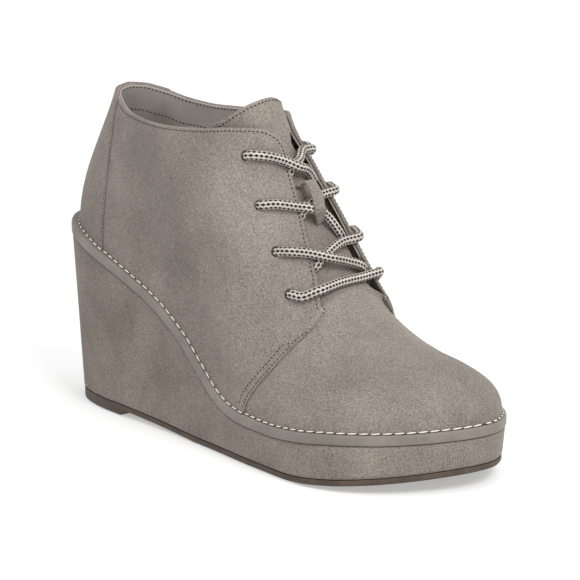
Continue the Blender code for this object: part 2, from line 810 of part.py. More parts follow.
def main():
    for obj in list(bpy.data.objects):
        bpy.data.objects.remove(obj, do_unlink=True)
    boot = new_collection("wedge_ankle_boot")
    cutters = new_collection("cutters")
    suede = material("grey_suede", (0.30, 0.27, 0.24), 0.95)
    cover = material("wedge_cover", (0.27, 0.24, 0.21), 0.95)
    band = material("welt_leather", (0.29, 0.26, 0.24), 0.55)
    rubber = material("brown_rubber", (0.09, 0.065, 0.05), 0.7)
    lining = material("grey_lining", (0.36, 0.33, 0.30), 0.7)
    lace = material("checked_cord", (0.55, 0.51, 0.45), 0.9)
    make_outsole(boot, rubber)
    make_wedge(boot, cover)
    make_welt(boot, band)
    make_insole(boot, lining)
    upper = make_upper(boot, suede)
    make_tongue(boot, suede)
    punch_eyelets(upper, cutters)
    make_lace_bar(boot, lace)
    for index in range(1, len(LACE_ROWS)):
        make_lace_crossing(index, boot, cutters, lace)
    make_keeper(boot, suede)


main()
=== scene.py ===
"""Finished surfaces, seams, laces and stage of the wedge ankle boot.

Lengths in the shape functions are millimetres from the heel's back, as in the
part's source; place() makes metres from the origin under the heel.
"""
import json
import math
from functools import lru_cache

import bmesh
import bpy
import numpy as np
from bpy.props import FloatProperty, IntProperty, PointerProperty
from bpy.types import Operator, Panel, PropertyGroup
from mathutils import Matrix, Vector

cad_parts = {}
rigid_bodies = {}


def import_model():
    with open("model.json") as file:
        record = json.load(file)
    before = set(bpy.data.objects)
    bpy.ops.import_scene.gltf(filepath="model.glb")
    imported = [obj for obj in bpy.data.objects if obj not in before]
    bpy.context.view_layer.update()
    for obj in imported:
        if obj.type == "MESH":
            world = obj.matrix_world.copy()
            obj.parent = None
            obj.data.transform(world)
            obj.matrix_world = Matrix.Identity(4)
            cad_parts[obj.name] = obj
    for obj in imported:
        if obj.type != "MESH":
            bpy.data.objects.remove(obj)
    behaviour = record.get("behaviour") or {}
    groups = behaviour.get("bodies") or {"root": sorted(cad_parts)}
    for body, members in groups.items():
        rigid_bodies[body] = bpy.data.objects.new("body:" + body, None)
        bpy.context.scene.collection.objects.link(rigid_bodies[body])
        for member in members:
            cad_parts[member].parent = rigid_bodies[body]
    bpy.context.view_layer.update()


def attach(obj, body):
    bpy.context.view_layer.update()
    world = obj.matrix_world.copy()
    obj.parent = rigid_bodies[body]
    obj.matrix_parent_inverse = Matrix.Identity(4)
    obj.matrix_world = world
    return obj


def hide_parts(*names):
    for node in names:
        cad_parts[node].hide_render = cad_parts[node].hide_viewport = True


for leftover in list(bpy.data.objects):
    bpy.data.objects.remove(leftover, do_unlink=True)
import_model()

bl_info = {
    "name": "Wedge ankle boot",
    "version": (1, 0, 0),
    "blender": (4, 5, 0),
    "location": "View3D > Sidebar > Boot",
    "description": "Builds the finished pieces of the wedge ankle boot and its stage",
    "category": "Object",
}

MM = 0.001
SIDES = (-1, 1)

# Driving sizes of the sole
SOLE_LENGTH = 239.8
ORIGIN_FROM_BACK = 32.0
TOE_TIP_Y = 8.0
WELT_HEIGHT = 4.3
WELT_WIDTH = 7.0
OUTSOLE_THICKNESS = 2.5
TOPLIFT_BACK = 9.8
TOPLIFT_FRONT = 57.0
TOPLIFT_STEP = 2.4
STEP_RUN = 3.5
ARCH_END = 112.0
SPRING_START = 176.0
TOE_SPRING = 7.2
WEDGE_SIDE_TAPER = 1.7
UPPER_GAP = 0.45

# Driving sizes of the upper
WALL = 1.5
QUARTER_RAISE = 0.9
STRIP_RAISE = 0.6
STRIP_T = 0.281
QUARTER_T = 0.5865
THROAT_T = 0.650
INSOLE_RISE = 2.0
CORNER_T = 0.012

# Half widths of the sole at the welt; t runs from heel back (0) to toe tip (1)
OUTLINE = (
    ("t", "lateral", "medial"),
    (0.00, 0.0, 0.0),
    (0.10, 14.6, 14.3),
    (0.20, 25.9, 25.4),
    (0.30, 31.2, 30.6),
    (0.40, 33.2, 30.0),
    (0.50, 37.3, 30.2),
    (0.60, 42.7, 36.5),
    (0.69, 45.5, 43.5),
    (0.74, 42.6, 43.0),
    (0.80, 34.4, 38.6),
    (0.86, 22.4, 30.0),
    (0.92, 8.6, 20.6),
    (0.96, 0.4, 14.6),
    (1.00, -TOE_TIP_Y, TOE_TIP_Y),
)

# Height of the wedge's top edge over the floor
DECK = (
    ("x", "z"),
    (0.0, 75.0),
    (20.0, 71.0),
    (38.8, 66.3),
    (54.8, 62.0),
    (70.4, 56.8),
    (87.1, 50.0),
    (105.0, 39.8),
    (116.7, 30.8),
    (129.1, 22.0),
    (139.7, 17.8),
    (149.7, 16.4),
    (167.5, 16.0),
    (186.8, 17.2),
    (204.0, 18.8),
    (228.0, 20.2),
    (239.8, 21.0),
)

# How far the upper's foot stands inside the welt's edge
LEDGE = (
    ("t", "inset"),
    (0.00, 4.9),
    (0.15, 5.3),
    (0.28, 3.9),
    (0.36, 2.8),
    (0.56, 2.7),
    (0.62, 1.8),
    (1.00, 1.8),
)

# One row for each section of the upper. (x, y, z) is the section's top point,
# lean tips its foot outwards, rise and spread are the pull of foot and top,
# drop is the slope in degrees at which the section leaves its top point.
SECTION_NAMES = ("t", "x", "y", "z", "lean", "rise", "drop", "spread", "ahead")
LATERAL = (
    SECTION_NAMES,
    (0.000, 28.6, 0.0, 137.5, 0.02, 20.0, 72.0, 18.0, 0.0),
    (0.120, 31.0, -7.2, 136.6, 0.02, 20.0, 74.0, 18.0, 0.0),
    (0.200, 34.2, -10.6, 135.2, 0.02, 20.0, 76.0, 18.0, 0.0),
    (0.281, 39.2, -13.6, 133.4, 0.03, 20.0, 78.0, 18.0, 0.0),
    (0.340, 52.0, -18.4, 129.4, 0.05, 24.0, 80.0, 20.0, 0.0),
    (0.400, 72.0, -24.6, 128.6, 0.05, 26.0, 80.0, 22.0, 0.0),
    (0.450, 94.0, -29.2, 129.2, 0.05, 30.0, 80.0, 26.0, 2.0),
    (0.485, 113.6, -29.8, 130.6, 0.05, 32.0, 78.0, 30.0, 4.0),
    (0.510, 127.8, -25.8, 132.0, 0.05, 33.0, 72.0, 34.0, 6.0),
    (0.530, 137.2, -20.4, 132.2, 0.05, 33.0, 64.0, 38.0, 7.0),
    (0.542, 141.4, -15.2, 129.6, 0.05, 33.0, 58.0, 38.0, 8.0),
    (0.551, 142.8, -10.6, 121.0, 0.05, 31.0, 52.0, 36.0, 8.0),
    (0.560, 149.4, -10.8, 106.5, 0.05, 28.0, 51.0, 32.0, 7.0),
    (0.569, 157.4, -12.6, 91.0, 0.06, 24.0, 51.0, 28.0, 6.0),
    (0.578, 165.4, -14.8, 76.5, 0.07, 19.0, 50.0, 23.0, 5.0),
    (0.585, 171.8, -17.8, 66.0, 0.08, 15.0, 50.0, 18.0, 3.0),
    (0.5882, 173.0, -18.4, 64.6, 0.08, 14.0, 48.0, 17.0, 4.0),
    (0.610, 173.3, -12.0, 67.5, 0.08, 14.0, 32.0, 18.0, 6.0),
    (0.630, 173.5, -5.8, 69.0, 0.08, 15.0, 18.0, 19.5, 7.0),
    (0.650, 173.6, 0.5, 69.5, 0.08, 15.0, 9.0, 21.0, 7.0),
    (0.675, 179.6, 1.0, 62.2, 0.08, 15.0, 6.0, 21.0, 5.5),
    (0.705, 188.0, 1.8, 56.0, 0.08, 14.0, 5.0, 20.5, 3.0),
    (0.740, 198.5, 3.0, 52.0, 0.08, 13.0, 6.0, 19.5, 1.0),
    (0.785, 207.5, 4.4, 49.2, 0.08, 13.0, 10.0, 18.0, 0.0),
    (0.840, 214.6, 5.8, 46.6, 0.08, 12.0, 15.0, 15.0, 0.0),
    (0.900, 219.6, 7.0, 43.8, 0.08, 11.0, 24.0, 11.0, 0.0),
    (0.950, 222.6, 7.6, 41.8, 0.07, 10.0, 30.0, 8.0, 0.0),
    (1.000, 224.6, 8.0, 40.2, 0.06, 9.0, 38.0, 6.0, 0.0),
)
MEDIAL = (
    SECTION_NAMES,
    (0.000, 28.6, 0.0, 137.5, 0.02, 20.0, 72.0, 18.0, 0.0),
    (0.120, 31.0, 7.6, 136.6, 0.02, 20.0, 74.0, 18.0, 0.0),
    (0.200, 33.8, 11.0, 135.4, 0.02, 20.0, 76.0, 18.0, 0.0),
    (0.281, 38.0, 14.2, 134.0, 0.03, 20.0, 78.0, 18.0, 0.0),
    (0.340, 46.5, 19.2, 131.0, 0.05, 24.0, 80.0, 20.0, 0.0),
    (0.400, 61.0, 25.2, 129.0, 0.05, 26.0, 80.0, 22.0, 0.0),
    (0.450, 79.0, 28.8, 129.0, 0.05, 30.0, 80.0, 26.0, 2.0),
    (0.485, 95.0, 27.2, 130.4, 0.05, 32.0, 78.0, 28.0, 4.0),
    (0.510, 106.5, 21.0, 132.0, 0.05, 33.0, 76.0, 32.0, 5.0),
    (0.530, 116.0, 13.8, 133.2, 0.05, 33.0, 70.0, 34.0, 6.0),
    (0.542, 122.4, 8.8, 131.8, 0.05, 33.0, 62.0, 34.0, 6.0),
    (0.551, 129.4, 6.4, 126.0, 0.05, 31.0, 56.0, 33.0, 6.0),
    (0.560, 142.6, 6.4, 112.4, 0.05, 28.0, 54.0, 30.0, 5.0),
    (0.569, 154.6, 8.4, 96.2, 0.06, 24.0, 53.0, 26.0, 4.0),
    (0.578, 164.4, 12.2, 79.0, 0.07, 19.0, 52.0, 22.0, 3.0),
    (0.585, 171.4, 15.8, 66.2, 0.08, 15.0, 50.0, 17.0, 1.5),
    (0.5882, 172.6, 16.6, 64.2, 0.08, 14.0, 48.0, 16.0, 2.0),
    (0.610, 173.2, 11.8, 67.0, 0.08, 14.0, 35.0, 15.0, 2.0),
    (0.630, 173.4, 6.2, 68.8, 0.08, 14.0, 22.0, 15.0, 3.0),
    (0.650, 173.6, 0.5, 69.5, 0.08, 14.0, 12.0, 15.0, 3.5),
    (0.675, 179.6, 1.0, 62.2, 0.08, 13.0, 8.0, 15.5, 3.0),
    (0.705, 188.0, 1.8, 56.0, 0.08, 13.0, 7.0, 15.5, 1.5),
    (0.740, 198.5, 3.0, 52.0, 0.08, 12.0, 8.0, 15.5, 1.0),
    (0.785, 207.5, 4.4, 49.2, 0.08, 12.0, 10.0, 15.0, 0.0),
    (0.840, 214.6, 5.8, 46.6, 0.08, 12.0, 15.0, 13.0, 0.0),
    (0.900, 219.6, 7.0, 43.8, 0.08, 11.0, 24.0, 11.0, 0.0),
    (0.950, 222.6, 7.6, 41.8, 0.07, 10.0, 30.0, 8.0, 0.0),
    (1.000, 224.6, 8.0, 40.2, 0.06, 9.0, 38.0, 6.0, 0.0),
)

# Punched holes for the lace, as places on the upper's surface, bottom pair first
EYELETS = (
    ("lateral_t", "lateral_v", "medial_t", "medial_v"),
    (0.574, 0.76, 0.576, 0.74),
    (0.562, 0.76, 0.563, 0.74),
    (0.546, 0.77, 0.552, 0.78),
    (0.526, 0.90, 0.530, 0.86),
)

# The tongue's two top sections, from its lateral edge (w = 0) to its medial edge
TONGUE_WALL = 1.6
TONGUE_GAP_LATERAL = 0.7
TONGUE_GAP_MEDIAL = 2.2
TONGUE_EDGE_V = 0.80
TONGUE_ARCH = 0.27
TONGUE_COLLAR = (
    ("w", "x", "y", "z"),
    (0.00, 114.5, -26.2, 126.0),
    (0.15, 124.6, -23.0, 128.0),
    (0.30, 135.0, -15.0, 127.0),
    (0.50, 136.0, -4.0, 129.4),
    (0.70, 123.0, 5.6, 130.0),
    (0.85, 112.0, 14.0, 129.0),
    (1.00, 100.0, 21.5, 127.0),
)
TONGUE_TOP = (
    ("w", "x", "y", "z"),
    (0.00, 117.0, -27.3, 131.5),
    (0.25, 128.6, -18.0, 140.8),
    (0.42, 130.2, -8.0, 143.0),
    (0.55, 128.8, -1.6, 141.4),
    (0.66, 124.6, 3.0, 136.4),
    (0.80, 116.5, 8.6, 133.0),
    (1.00, 103.0, 18.0, 130.5),
)

# The camera stands in front of the toe, on the lateral side, and looks at the instep
CAMERA_PLACE = (0.936, -0.736, 0.302)
CAMERA_AIM = (0.0924, 0.0078, 0.0603)

# The lace in strands from an eyelet inwards. A knot lies on the lateral (Q) or medial (M)
# quarter at (t, v), or over the tongue (T) at (t, w) and a height. A strand ends in the
# other quarter's eyelet, or tucked under the other facing.
STRANDS = (
    ("lace_bar", "Q", 1, True, (
        ("Q", 0.5785, 0.83), ("Q", 0.5815, 0.97),
        ("T", 0.5825, 0.42, 2.6), ("T", 0.5820, 0.63, 3.0),
        ("M", 0.5810, 0.99), ("M", 0.5790, 0.88),
    )),
    ("lace_crossing_1", "Q", 2, False, (
        ("Q", 0.5660, 0.83), ("Q", 0.5720, 0.96),
        ("T", 0.5770, 0.38, 5.4), ("T", 0.5790, 0.52, 4.0), ("T", 0.5800, 0.71, 2.2),
        ("T", 0.5800, 0.79, 0.2),
    )),
    ("lace_crossing_1", "M", 2, False, (
        ("M", 0.5690, 0.87, 2.3), ("M", 0.5735, 0.98, 2.5),
        ("T", 0.5750, 0.58, 2.4), ("T", 0.5760, 0.43, 2.1), ("T", 0.5765, 0.33, 2.0),
        ("T", 0.5770, 0.22, 0.2),
    )),
    ("lace_crossing_2", "Q", 3, False, (
        ("Q", 0.5530, 0.83), ("Q", 0.5615, 0.96),
        ("T", 0.5650, 0.33, 5.4), ("T", 0.5685, 0.51, 4.0), ("T", 0.5720, 0.62, 2.2),
        ("T", 0.5740, 0.76, 0.2),
    )),
    ("lace_crossing_2", "M", 3, False, (
        ("M", 0.5585, 0.87, 2.3), ("M", 0.5640, 0.98, 2.5),
        ("T", 0.5650, 0.59, 2.4), ("T", 0.5645, 0.40, 2.2), ("T", 0.5645, 0.30, 2.0),
        ("T", 0.5650, 0.20, 0.2),
    )),
    ("lace_crossing_3", "Q", 4, False, (
        ("Q", 0.5370, 0.91), ("Q", 0.5480, 0.95),
        ("T", 0.5555, 0.30, 5.4), ("T", 0.5585, 0.47, 4.2), ("T", 0.5610, 0.62, 2.2),
        ("T", 0.5620, 0.76, 0.2),
    )),
    ("lace_crossing_3", "M", 4, False, (
        ("M", 0.5450, 0.87, 2.3), ("M", 0.5535, 0.96, 2.5),
        ("T", 0.5555, 0.70, 3.2), ("T", 0.5565, 0.48, 2.2), ("T", 0.5550, 0.29, 2.0),
        ("T", 0.5555, 0.20, 0.2),
    )),
)

# The quarter's front edge over the vamp
FRONT_EDGE = (
    ("v", "t"),
    (0.00, 0.582),
    (0.15, 0.588),
    (0.40, 0.596),
    (0.60, 0.600),
    (0.64, 0.612),
    (0.69, 0.627),
    (0.75, 0.628),
    (0.85, 0.616),
    (1.00, 0.597),
)

# Places where the suede is painted lighter or darker: partly painted light and shade (lighter on
# top of the tongue, darker towards the heel's back), partly the suede's own patches; centre in mm
# from the origin, reach, factor
SUEDE_PAINTED_LIGHT_AND_PATCHES = (
    ((5, -25, 90), 60, 0.88),
    ((36, -26, 118), 24, 0.86),
    ((63, -33, 92), 34, 0.84),
    ((83, -36, 61), 30, 0.90),
    ((98, -32, 108), 26, 1.12),
    ((117, -28, 84), 30, 1.10),
    ((100, -12, 137), 26, 1.28),
    ((122, 8, 96), 22, 0.92),
    ((160, -15, 52), 24, 1.08),
    ((173, -13, 47), 18, 0.90),
    ((142, -43, 25), 26, 0.96),
    ((200, 5, 38), 40, 0.84),
)
COVER_PAINTED_LIGHT_AND_PATCHES = (
    ((5, -29, 34), 75, 0.84),
    ((72, -34, 16), 40, 0.88),
    ((158, -44, 10), 20, 1.12),
    ((173, -41, 12), 14, 0.90),
    ((188, -32, 14), 20, 1.14),
    ((206, 0, 15), 24, 1.05),
)

# The keeper's middle line over the tongue, as (t, w) and a height
KEEPER_KNOTS = (
    (0.5600, 0.36, 1.0),
    (0.5600, 0.39, 2.8),
    (0.5605, 0.40, 5.5),
    (0.5620, 0.39, 7.8),
    (0.5645, 0.40, 8.5),
    (0.5670, 0.41, 7.3),
    (0.5685, 0.46, 4.0),
    (0.5695, 0.49, 1.2),
)

# Where lining, vamp and tongue start on the outline, and how the walls part there
LINING_T = 0.577
LINING_DEPTH = 1.12
LINING_HALF = 0.38
LINING_DROP = 0.35
VAMP_T = 0.5775
JOIN_T = 0.5882
FOOT_GAP = 0.05
SHELL = 0.7
SHELL_END_T = 0.568
SHELL_FADE_T = 0.009
TONGUE_STEP = 1.6
TONGUE_SUNK_T = 0.0075
TONGUE_DRIFT_T = 0.010
TONGUE_LAST_T = 0.5555
TONGUE_BEND_TS = (0.5645, 0.560)
FLAP_LENGTH = 45.0
FLANK_V = 0.8
FLANK_STEPS = 12
FLANK_LEVELS = [FLANK_V + 0.2 * k / FLANK_STEPS for k in range(FLANK_STEPS + 1)]

# Millimetres for one unit of t at the quarter's front and at the strip's edge, and of v
QUARTER_REACH = 363.0
STRIP_REACH = 260.0
WALL_REACH = 75.0

# Grooves of the tread: from, to, pitch, width and depth
TREAD_RIM = 0.07
FOREFOOT_TREAD = (116.0, 222.0, 5.2, 1.5, 0.8)
HEEL_TREAD = (14.0, 52.0, 4.4, 1.2, 0.6)

# A stitch of the welt: length, width, height and lean
WELT_STITCH = (4.1, 0.62, 0.55, 0.1)

# Soft lights in metres: place, size and share of the key's power
LIGHTS = (
    ("key_light", (1.4, -0.25, 1.3), 0.8, 1.0),
    ("side_light", (-0.1, -1.3, 0.9), 0.9, 0.04),
    ("top_light", (0.2, 0.1, 1.9), 1.2, 0.12),
)
LIGHT_AIM = (0.09, 0.0, 0.06)
FLOOR_RADIUS = 6.0
FLOOR_DROP = 0.0002
SENSOR_WIDTH = 36.0

# Soft creases: plane of the sheet they lie in, ends, width and height in mm.
# "L" and "M" lie on the side walls (x, z), "T" on the vamp seen from above (x, y).
FOLDS = (
    ("L", 66.0, 121.0, 92.0, 96.0, 8.0, -0.55),
    ("L", 76.0, 122.0, 104.0, 99.0, 7.0, 0.35),
    ("L", 108.0, 112.0, 124.0, 84.0, 8.0, -0.5),
    ("L", 100.0, 106.0, 113.0, 80.0, 7.0, 0.3),
    ("L", 34.0, 108.0, 52.0, 90.0, 9.0, -0.4),
    ("L", 118.0, 70.0, 150.0, 60.0, 8.0, -0.45),
    ("L", 128.0, 62.0, 152.0, 50.0, 7.0, 0.3),
    ("L", 78.0, 84.0, 104.0, 66.0, 9.0, -0.35),
    ("M", 62.0, 118.0, 86.0, 94.0, 8.0, -0.5),
    ("M", 104.0, 110.0, 122.0, 84.0, 8.0, -0.5),
    ("M", 112.0, 70.0, 146.0, 58.0, 8.0, -0.4),
    ("M", 70.0, 88.0, 98.0, 70.0, 9.0, 0.3),
    ("T", 186.0, -20.0, 190.0, 16.0, 5.0, -0.3),
    ("T", 195.0, -16.0, 200.0, 20.0, 5.0, -0.25),
    ("T", 191.0, -24.0, 196.0, 14.0, 4.0, 0.18),
)


def place(point):
    """A point in millimetres from the heel's back, as metres from the origin."""
    x, y, z = point
    return Vector(((x - ORIGIN_FROM_BACK) * MM, y * MM, z * MM))


def smooth(rows, key, at):
    """Monotone cubic through one named column of a table."""
    names = rows[0]
    index = names.index(key)
    xs = [row[0] for row in rows[1:]]
    ys = [row[index] for row in rows[1:]]
    last = len(xs) - 1
    if at <= xs[0]:
        return ys[0]
    if at >= xs[last]:
        return ys[last]
    i = max(k for k in range(last) if xs[k] <= at)

    def secant(k):
        return (ys[k + 1] - ys[k]) / (xs[k + 1] - xs[k])

    def slope(k):
        if k == 0:
            return secant(0)
        if k == last:
            return secant(last - 1)
        before, after = secant(k - 1), secant(k)
        if before * after <= 0:
            return 0.0
        wide = xs[k + 1] - xs[k]
        near = xs[k] - xs[k - 1]
        first, second = 2 * wide + near, wide + 2 * near
        return (first + second) / (first / before + second / after)

    span = xs[i + 1] - xs[i]
    w = (at - xs[i]) / span
    return (
        (1 + 2 * w) * (1 - w) ** 2 * ys[i]
        + w * (1 - w) ** 2 * span * slope(i)
        + w * w * (3 - 2 * w) * ys[i + 1]
        + w * w * (w - 1) * span * slope(i + 1)
    )


def edge_point(side, t):
    """Plan point on the welt's outer edge."""
    x = SOLE_LENGTH * (1 - math.cos(math.pi * t)) / 2
    key = "lateral" if side < 0 else "medial"
    return Vector((x, side * smooth(OUTLINE, key, t), 0.0))


def outward(side, t):
    """Plan direction square to the welt's edge, pointing away from the foot."""
    step = 0.004
    if t <= step:
        return Vector((-1.0, 0.0, 0.0))
    if t >= 1 - step:
        return Vector((1.0, 0.0, 0.0))
    run = edge_point(side, t + step) - edge_point(side, t - step)
    return Vector((-side * run.y, side * run.x, 0.0)).normalized()


def rim(side, t, inset):
    return edge_point(side, t) - outward(side, t) * inset


def deck(x):
    return smooth(DECK, "z", x)


def welt_top(x):
    """Top of the welt: its height is measured square to the sloping deck."""
    slope = (deck(x + 1.0) - deck(x - 1.0)) / 2.0
    return deck(x) + WELT_HEIGHT * math.sqrt(1.0 + slope * slope)


def ground(x):
    """Underside of the outsole: toplift, raised arch, flat tread, toe spring."""
    if x <= TOPLIFT_FRONT:
        return 0.0
    step_end = TOPLIFT_FRONT + STEP_RUN
    if x < step_end:
        return TOPLIFT_STEP * (x - TOPLIFT_FRONT) / STEP_RUN
    if x < ARCH_END:
        return TOPLIFT_STEP * (ARCH_END - x) / (ARCH_END - step_end)
    if x <= SPRING_START:
        return 0.0
    return TOE_SPRING * ((x - SPRING_START) / (SOLE_LENGTH - SPRING_START)) ** 1.5


def outsole_top(x):
    """The toplift is thicker than the forefoot by its step."""
    if x <= TOPLIFT_FRONT:
        return TOPLIFT_STEP + OUTSOLE_THICKNESS
    if x < ARCH_END:
        share = (ARCH_END - x) / (ARCH_END - TOPLIFT_FRONT)
        return OUTSOLE_THICKNESS + TOPLIFT_STEP * share
    return ground(x) + OUTSOLE_THICKNESS


def bottom_point(side, t, extra):
    """Plan point on the wedge's lower edge, drawn in at the heel's back."""
    point = rim(side, t, WEDGE_SIDE_TAPER + extra)
    heel_reach = 70.0
    fade = max(0.0, 1.0 - point.x / heel_reach)
    point.x += (TOPLIFT_BACK - WEDGE_SIDE_TAPER) * fade * fade
    return point


def at_height(point, height):
    return Vector((point.x, point.y, height(point.x)))


def upper_foot(side, t):
    point = rim(side, t, smooth(LEDGE, "inset", t))
    return at_height(point, lambda x: welt_top(x) + UPPER_GAP)


def top_points(rows, t):
    """The section's top point, and its mean with both neighbours: the wall below
    a corner of the top edge follows the mean, so that the corner makes no crease."""
    points = []
    for at in (t - CORNER_T, t, t + CORNER_T):
        points.append(Vector([smooth(rows, key, at) for key in ("x", "y", "z")]))
    return points[1], (points[0] + points[1] + points[2]) / 3.0


@lru_cache(maxsize=None)
def section(side, t):
    """Control points of the wall's curve from foot to top at one station."""
    rows = LATERAL if side < 0 else MEDIAL
    value = {key: smooth(rows, key, t) for key in SECTION_NAMES[4:]}
    away = outward(side, t)
    foot = upper_foot(side, t)
    top, eased = top_points(rows, t)
    low = foot + value["rise"] * (Vector((0.0, 0.0, 1.0)) + value["lean"] * away)
    drop = math.radians(value["drop"])
    pull = away * math.cos(drop) - Vector((0.0, 0.0, math.sin(drop)))
    high = eased + value["spread"] * pull + Vector((value["ahead"], 0.0, 0.0))
    return foot, low, high, top


def surface(side, t, v):
    """Outer face of the thin wall: v runs from the foot (0) to the top (1)."""
    foot, low, high, top = section(side, t)
    w = 1.0 - v
    return w ** 3 * foot + 3 * w * w * v * low + 3 * w * v * v * high + v ** 3 * top


def surface_normal(side, t, v):
    dt, dv = 0.002, 0.01
    along = surface(side, min(1.0, t + dt), v) - surface(side, max(0.0, t - dt), v)
    up = surface(side, t, min(1.0, v + dv)) - surface(side, t, max(0.0, v - dv))
    return along.cross(up).normalized() * -side


@lru_cache(maxsize=None)
def rim_scale(side, t):
    """Millimetres square to the top edge for one unit of v."""
    foot, low, high, top = section(side, t)
    up = 3.0 * (top - high)
    before = section(side, max(0.0, t - 0.001))[3]
    after = section(side, min(1.0, t + 0.001))[3]
    along = after - before
    if along.length < 1e-5:
        return up.length
    return max(20.0, along.normalized().cross(up).length)


def front_edge(v):
    return smooth(FRONT_EDGE, "t", v)


def stretched(t, v):
    """Station on the quarter, drawn forward so that the last one meets the front edge."""
    start = 0.53
    if t <= start:
        return t
    return t + (front_edge(v) - QUARTER_T) * ease((t - start) / (QUARTER_T - start))


def inside(side, t, v, dt, distance, pieces=8):
    """The place (t, v) moved square to the edge's direction (dt, 1), towards smaller t."""
    across = None
    for _ in range(pieces):
        high_v, low_v = min(1.0, v + 0.004), max(0.0, v - 0.004)
        along_t = (surface(side, t + 0.0005, v) - surface(side, t - 0.0005, v)) / 0.001
        along_v = (surface(side, t, high_v) - surface(side, t, low_v)) / (high_v - low_v)
        if across is None:
            tangent = along_t * dt + along_v
            across = along_t.cross(along_v).cross(tangent).normalized()
        tt, tv, vv = along_t.dot(along_t), along_t.dot(along_v), along_v.dot(along_v)
        at, av = across.dot(along_t), across.dot(along_v)
        share = distance / pieces / (tt * vv - tv * tv)
        t, v = t + (at * vv - av * tv) * share, v + (av * tt - at * tv) * share
        v = min(0.995, max(0.002, v))
    return t, v


def ease(share):
    share = min(1.0, max(0.0, share))
    return share * share * (3.0 - 2.0 * share)


def rounded(distance, radius):
    """Share of the full thickness at a distance from a rounded edge."""
    if distance >= radius:
        return 1.0
    return max(0.3, math.sqrt(max(0.0, 1.0 - (1.0 - distance / radius) ** 2)))


def fold_height(point):
    """Height of the creases at a point of the upper."""
    total = 0.0
    for plane, ax, ah, bx, bh, width, height in FOLDS:
        if plane == "T":
            spot = (point.x, point.y)
        elif (plane == "L") == (point.y < 0.0):
            spot = (point.x, point.z)
        else:
            continue
        run, rise = bx - ax, bh - ah
        share = ((spot[0] - ax) * run + (spot[1] - ah) * rise) / (run * run + rise * rise)
        share = min(1.0, max(0.0, share))
        near = math.hypot(spot[0] - ax - share * run, spot[1] - ah - share * rise)
        if near < 3.0 * width:
            total += height * math.exp(-(near / width) ** 2)
    return total


def spread(low, high, step, *tracks):
    """Parameters from low to high, evenly spaced along the fastest moving track."""
    at = [low + (high - low) * k / 400 for k in range(401)]
    travelled = [0.0]
    for a, b in zip(at, at[1:]):
        travelled.append(travelled[-1] + max((track(b) - track(a)).length for track in tracks))
    count = max(1, round(travelled[-1] / step))
    wanted = [travelled[-1] * k / count for k in range(count + 1)]
    return [float(value) for value in np.interp(wanted, travelled, at)]


def with_edge(values, end, offsets):
    """Parameters ending in a rounded edge: closer and closer steps towards it."""
    kept = [value for value in values if value < end - offsets[-1] * 1.3]
    return kept + [end - offset for offset in reversed(offsets)] + [end]


def flow(points, count):
    """Points of a smooth curve through the given ones, evenly spaced in length."""
    gaps = [max(1e-6, (b - a).length) for a, b in zip(points, points[1:])]
    last = len(points) - 1
    slopes = []
    for k in range(last + 1):
        before = (points[k] - points[k - 1]) / gaps[k - 1] if k > 0 else None
        after = (points[k + 1] - points[k]) / gaps[k] if k < last else None
        if before is None:
            slopes.append(after)
        elif after is None:
            slopes.append(before)
        else:
            slopes.append((before * gaps[k] + after * gaps[k - 1]) / (gaps[k] + gaps[k - 1]))
    fine = []
    for k in range(last):
        for i in range(24):
            w = i / 24
            h = gaps[k]
            fine.append(
                (1 + 2 * w) * (1 - w) ** 2 * points[k]
                + w * (1 - w) ** 2 * h * slopes[k]
                + w * w * (3 - 2 * w) * points[k + 1]
                + w * w * (w - 1) * h * slopes[k + 1]
            )
    fine.append(points[last])
    travelled = [0.0]
    for a, b in zip(fine, fine[1:]):
        travelled.append(travelled[-1] + (b - a).length)
    wanted = [travelled[-1] * k / (count - 1) for k in range(count)]
    columns = [np.interp(wanted, travelled, [p[axis] for p in fine]) for axis in range(3)]
    return [Vector(values) for values in zip(*columns)]


def curve_length(points):
    return sum((b - a).length for a, b in zip(points, points[1:]))


def eyelet_spot(side, number):
    """Place of an eyelet on the surface, as (t, v)."""
    row = EYELETS[number]
    return row[:2] if side < 0 else row[2:]


def under_wall(side, t, v):
    """Outer face of what lies under the upper's wall, further in on the medial side."""
    gap = TONGUE_GAP_LATERAL if side < 0 else TONGUE_GAP_MEDIAL
    return surface(side, t, v) - (WALL + gap) * surface_normal(side, t, v)


def edge_levels():
    return [TONGUE_EDGE_V + (1.0 - TONGUE_EDGE_V) * k / 3 for k in range(4)]


def facing_section(t):
    """Tongue section that spans the open throat between the two facings."""
    flanks = {side: [under_wall(side, t, v) for v in edge_levels()] for side in SIDES}
    start, end = flanks[-1][-1], flanks[1][-1]
    pull = TONGUE_ARCH * (end - start).length
    rise_l = (start - flanks[-1][-2]).normalized() * pull
    rise_m = (end - flanks[1][-2]).normalized() * pull
    low, high = start + rise_l, end + rise_m
    span = []
    for k in range(1, 6):
        v = k / 6
        w = 1.0 - v
        span.append(w ** 3 * start + 3 * w * w * v * low + 3 * w * v * v * high + v ** 3 * end)
    return flanks[-1] + span + flanks[1][::-1]


def tongue_at(t, w):
    points = facing_section(t)
    spot = w * (len(points) - 1)
    i = min(int(spot), len(points) - 2)
    return points[i].lerp(points[i + 1], spot - i)


def above_tongue(t, w, height):
    across = tongue_at(t, w + 0.04) - tongue_at(t, w - 0.04)
    along = tongue_at(t - 0.003, w) - tongue_at(t + 0.003, w)
    return tongue_at(t, w) + height * across.cross(along).normalized()


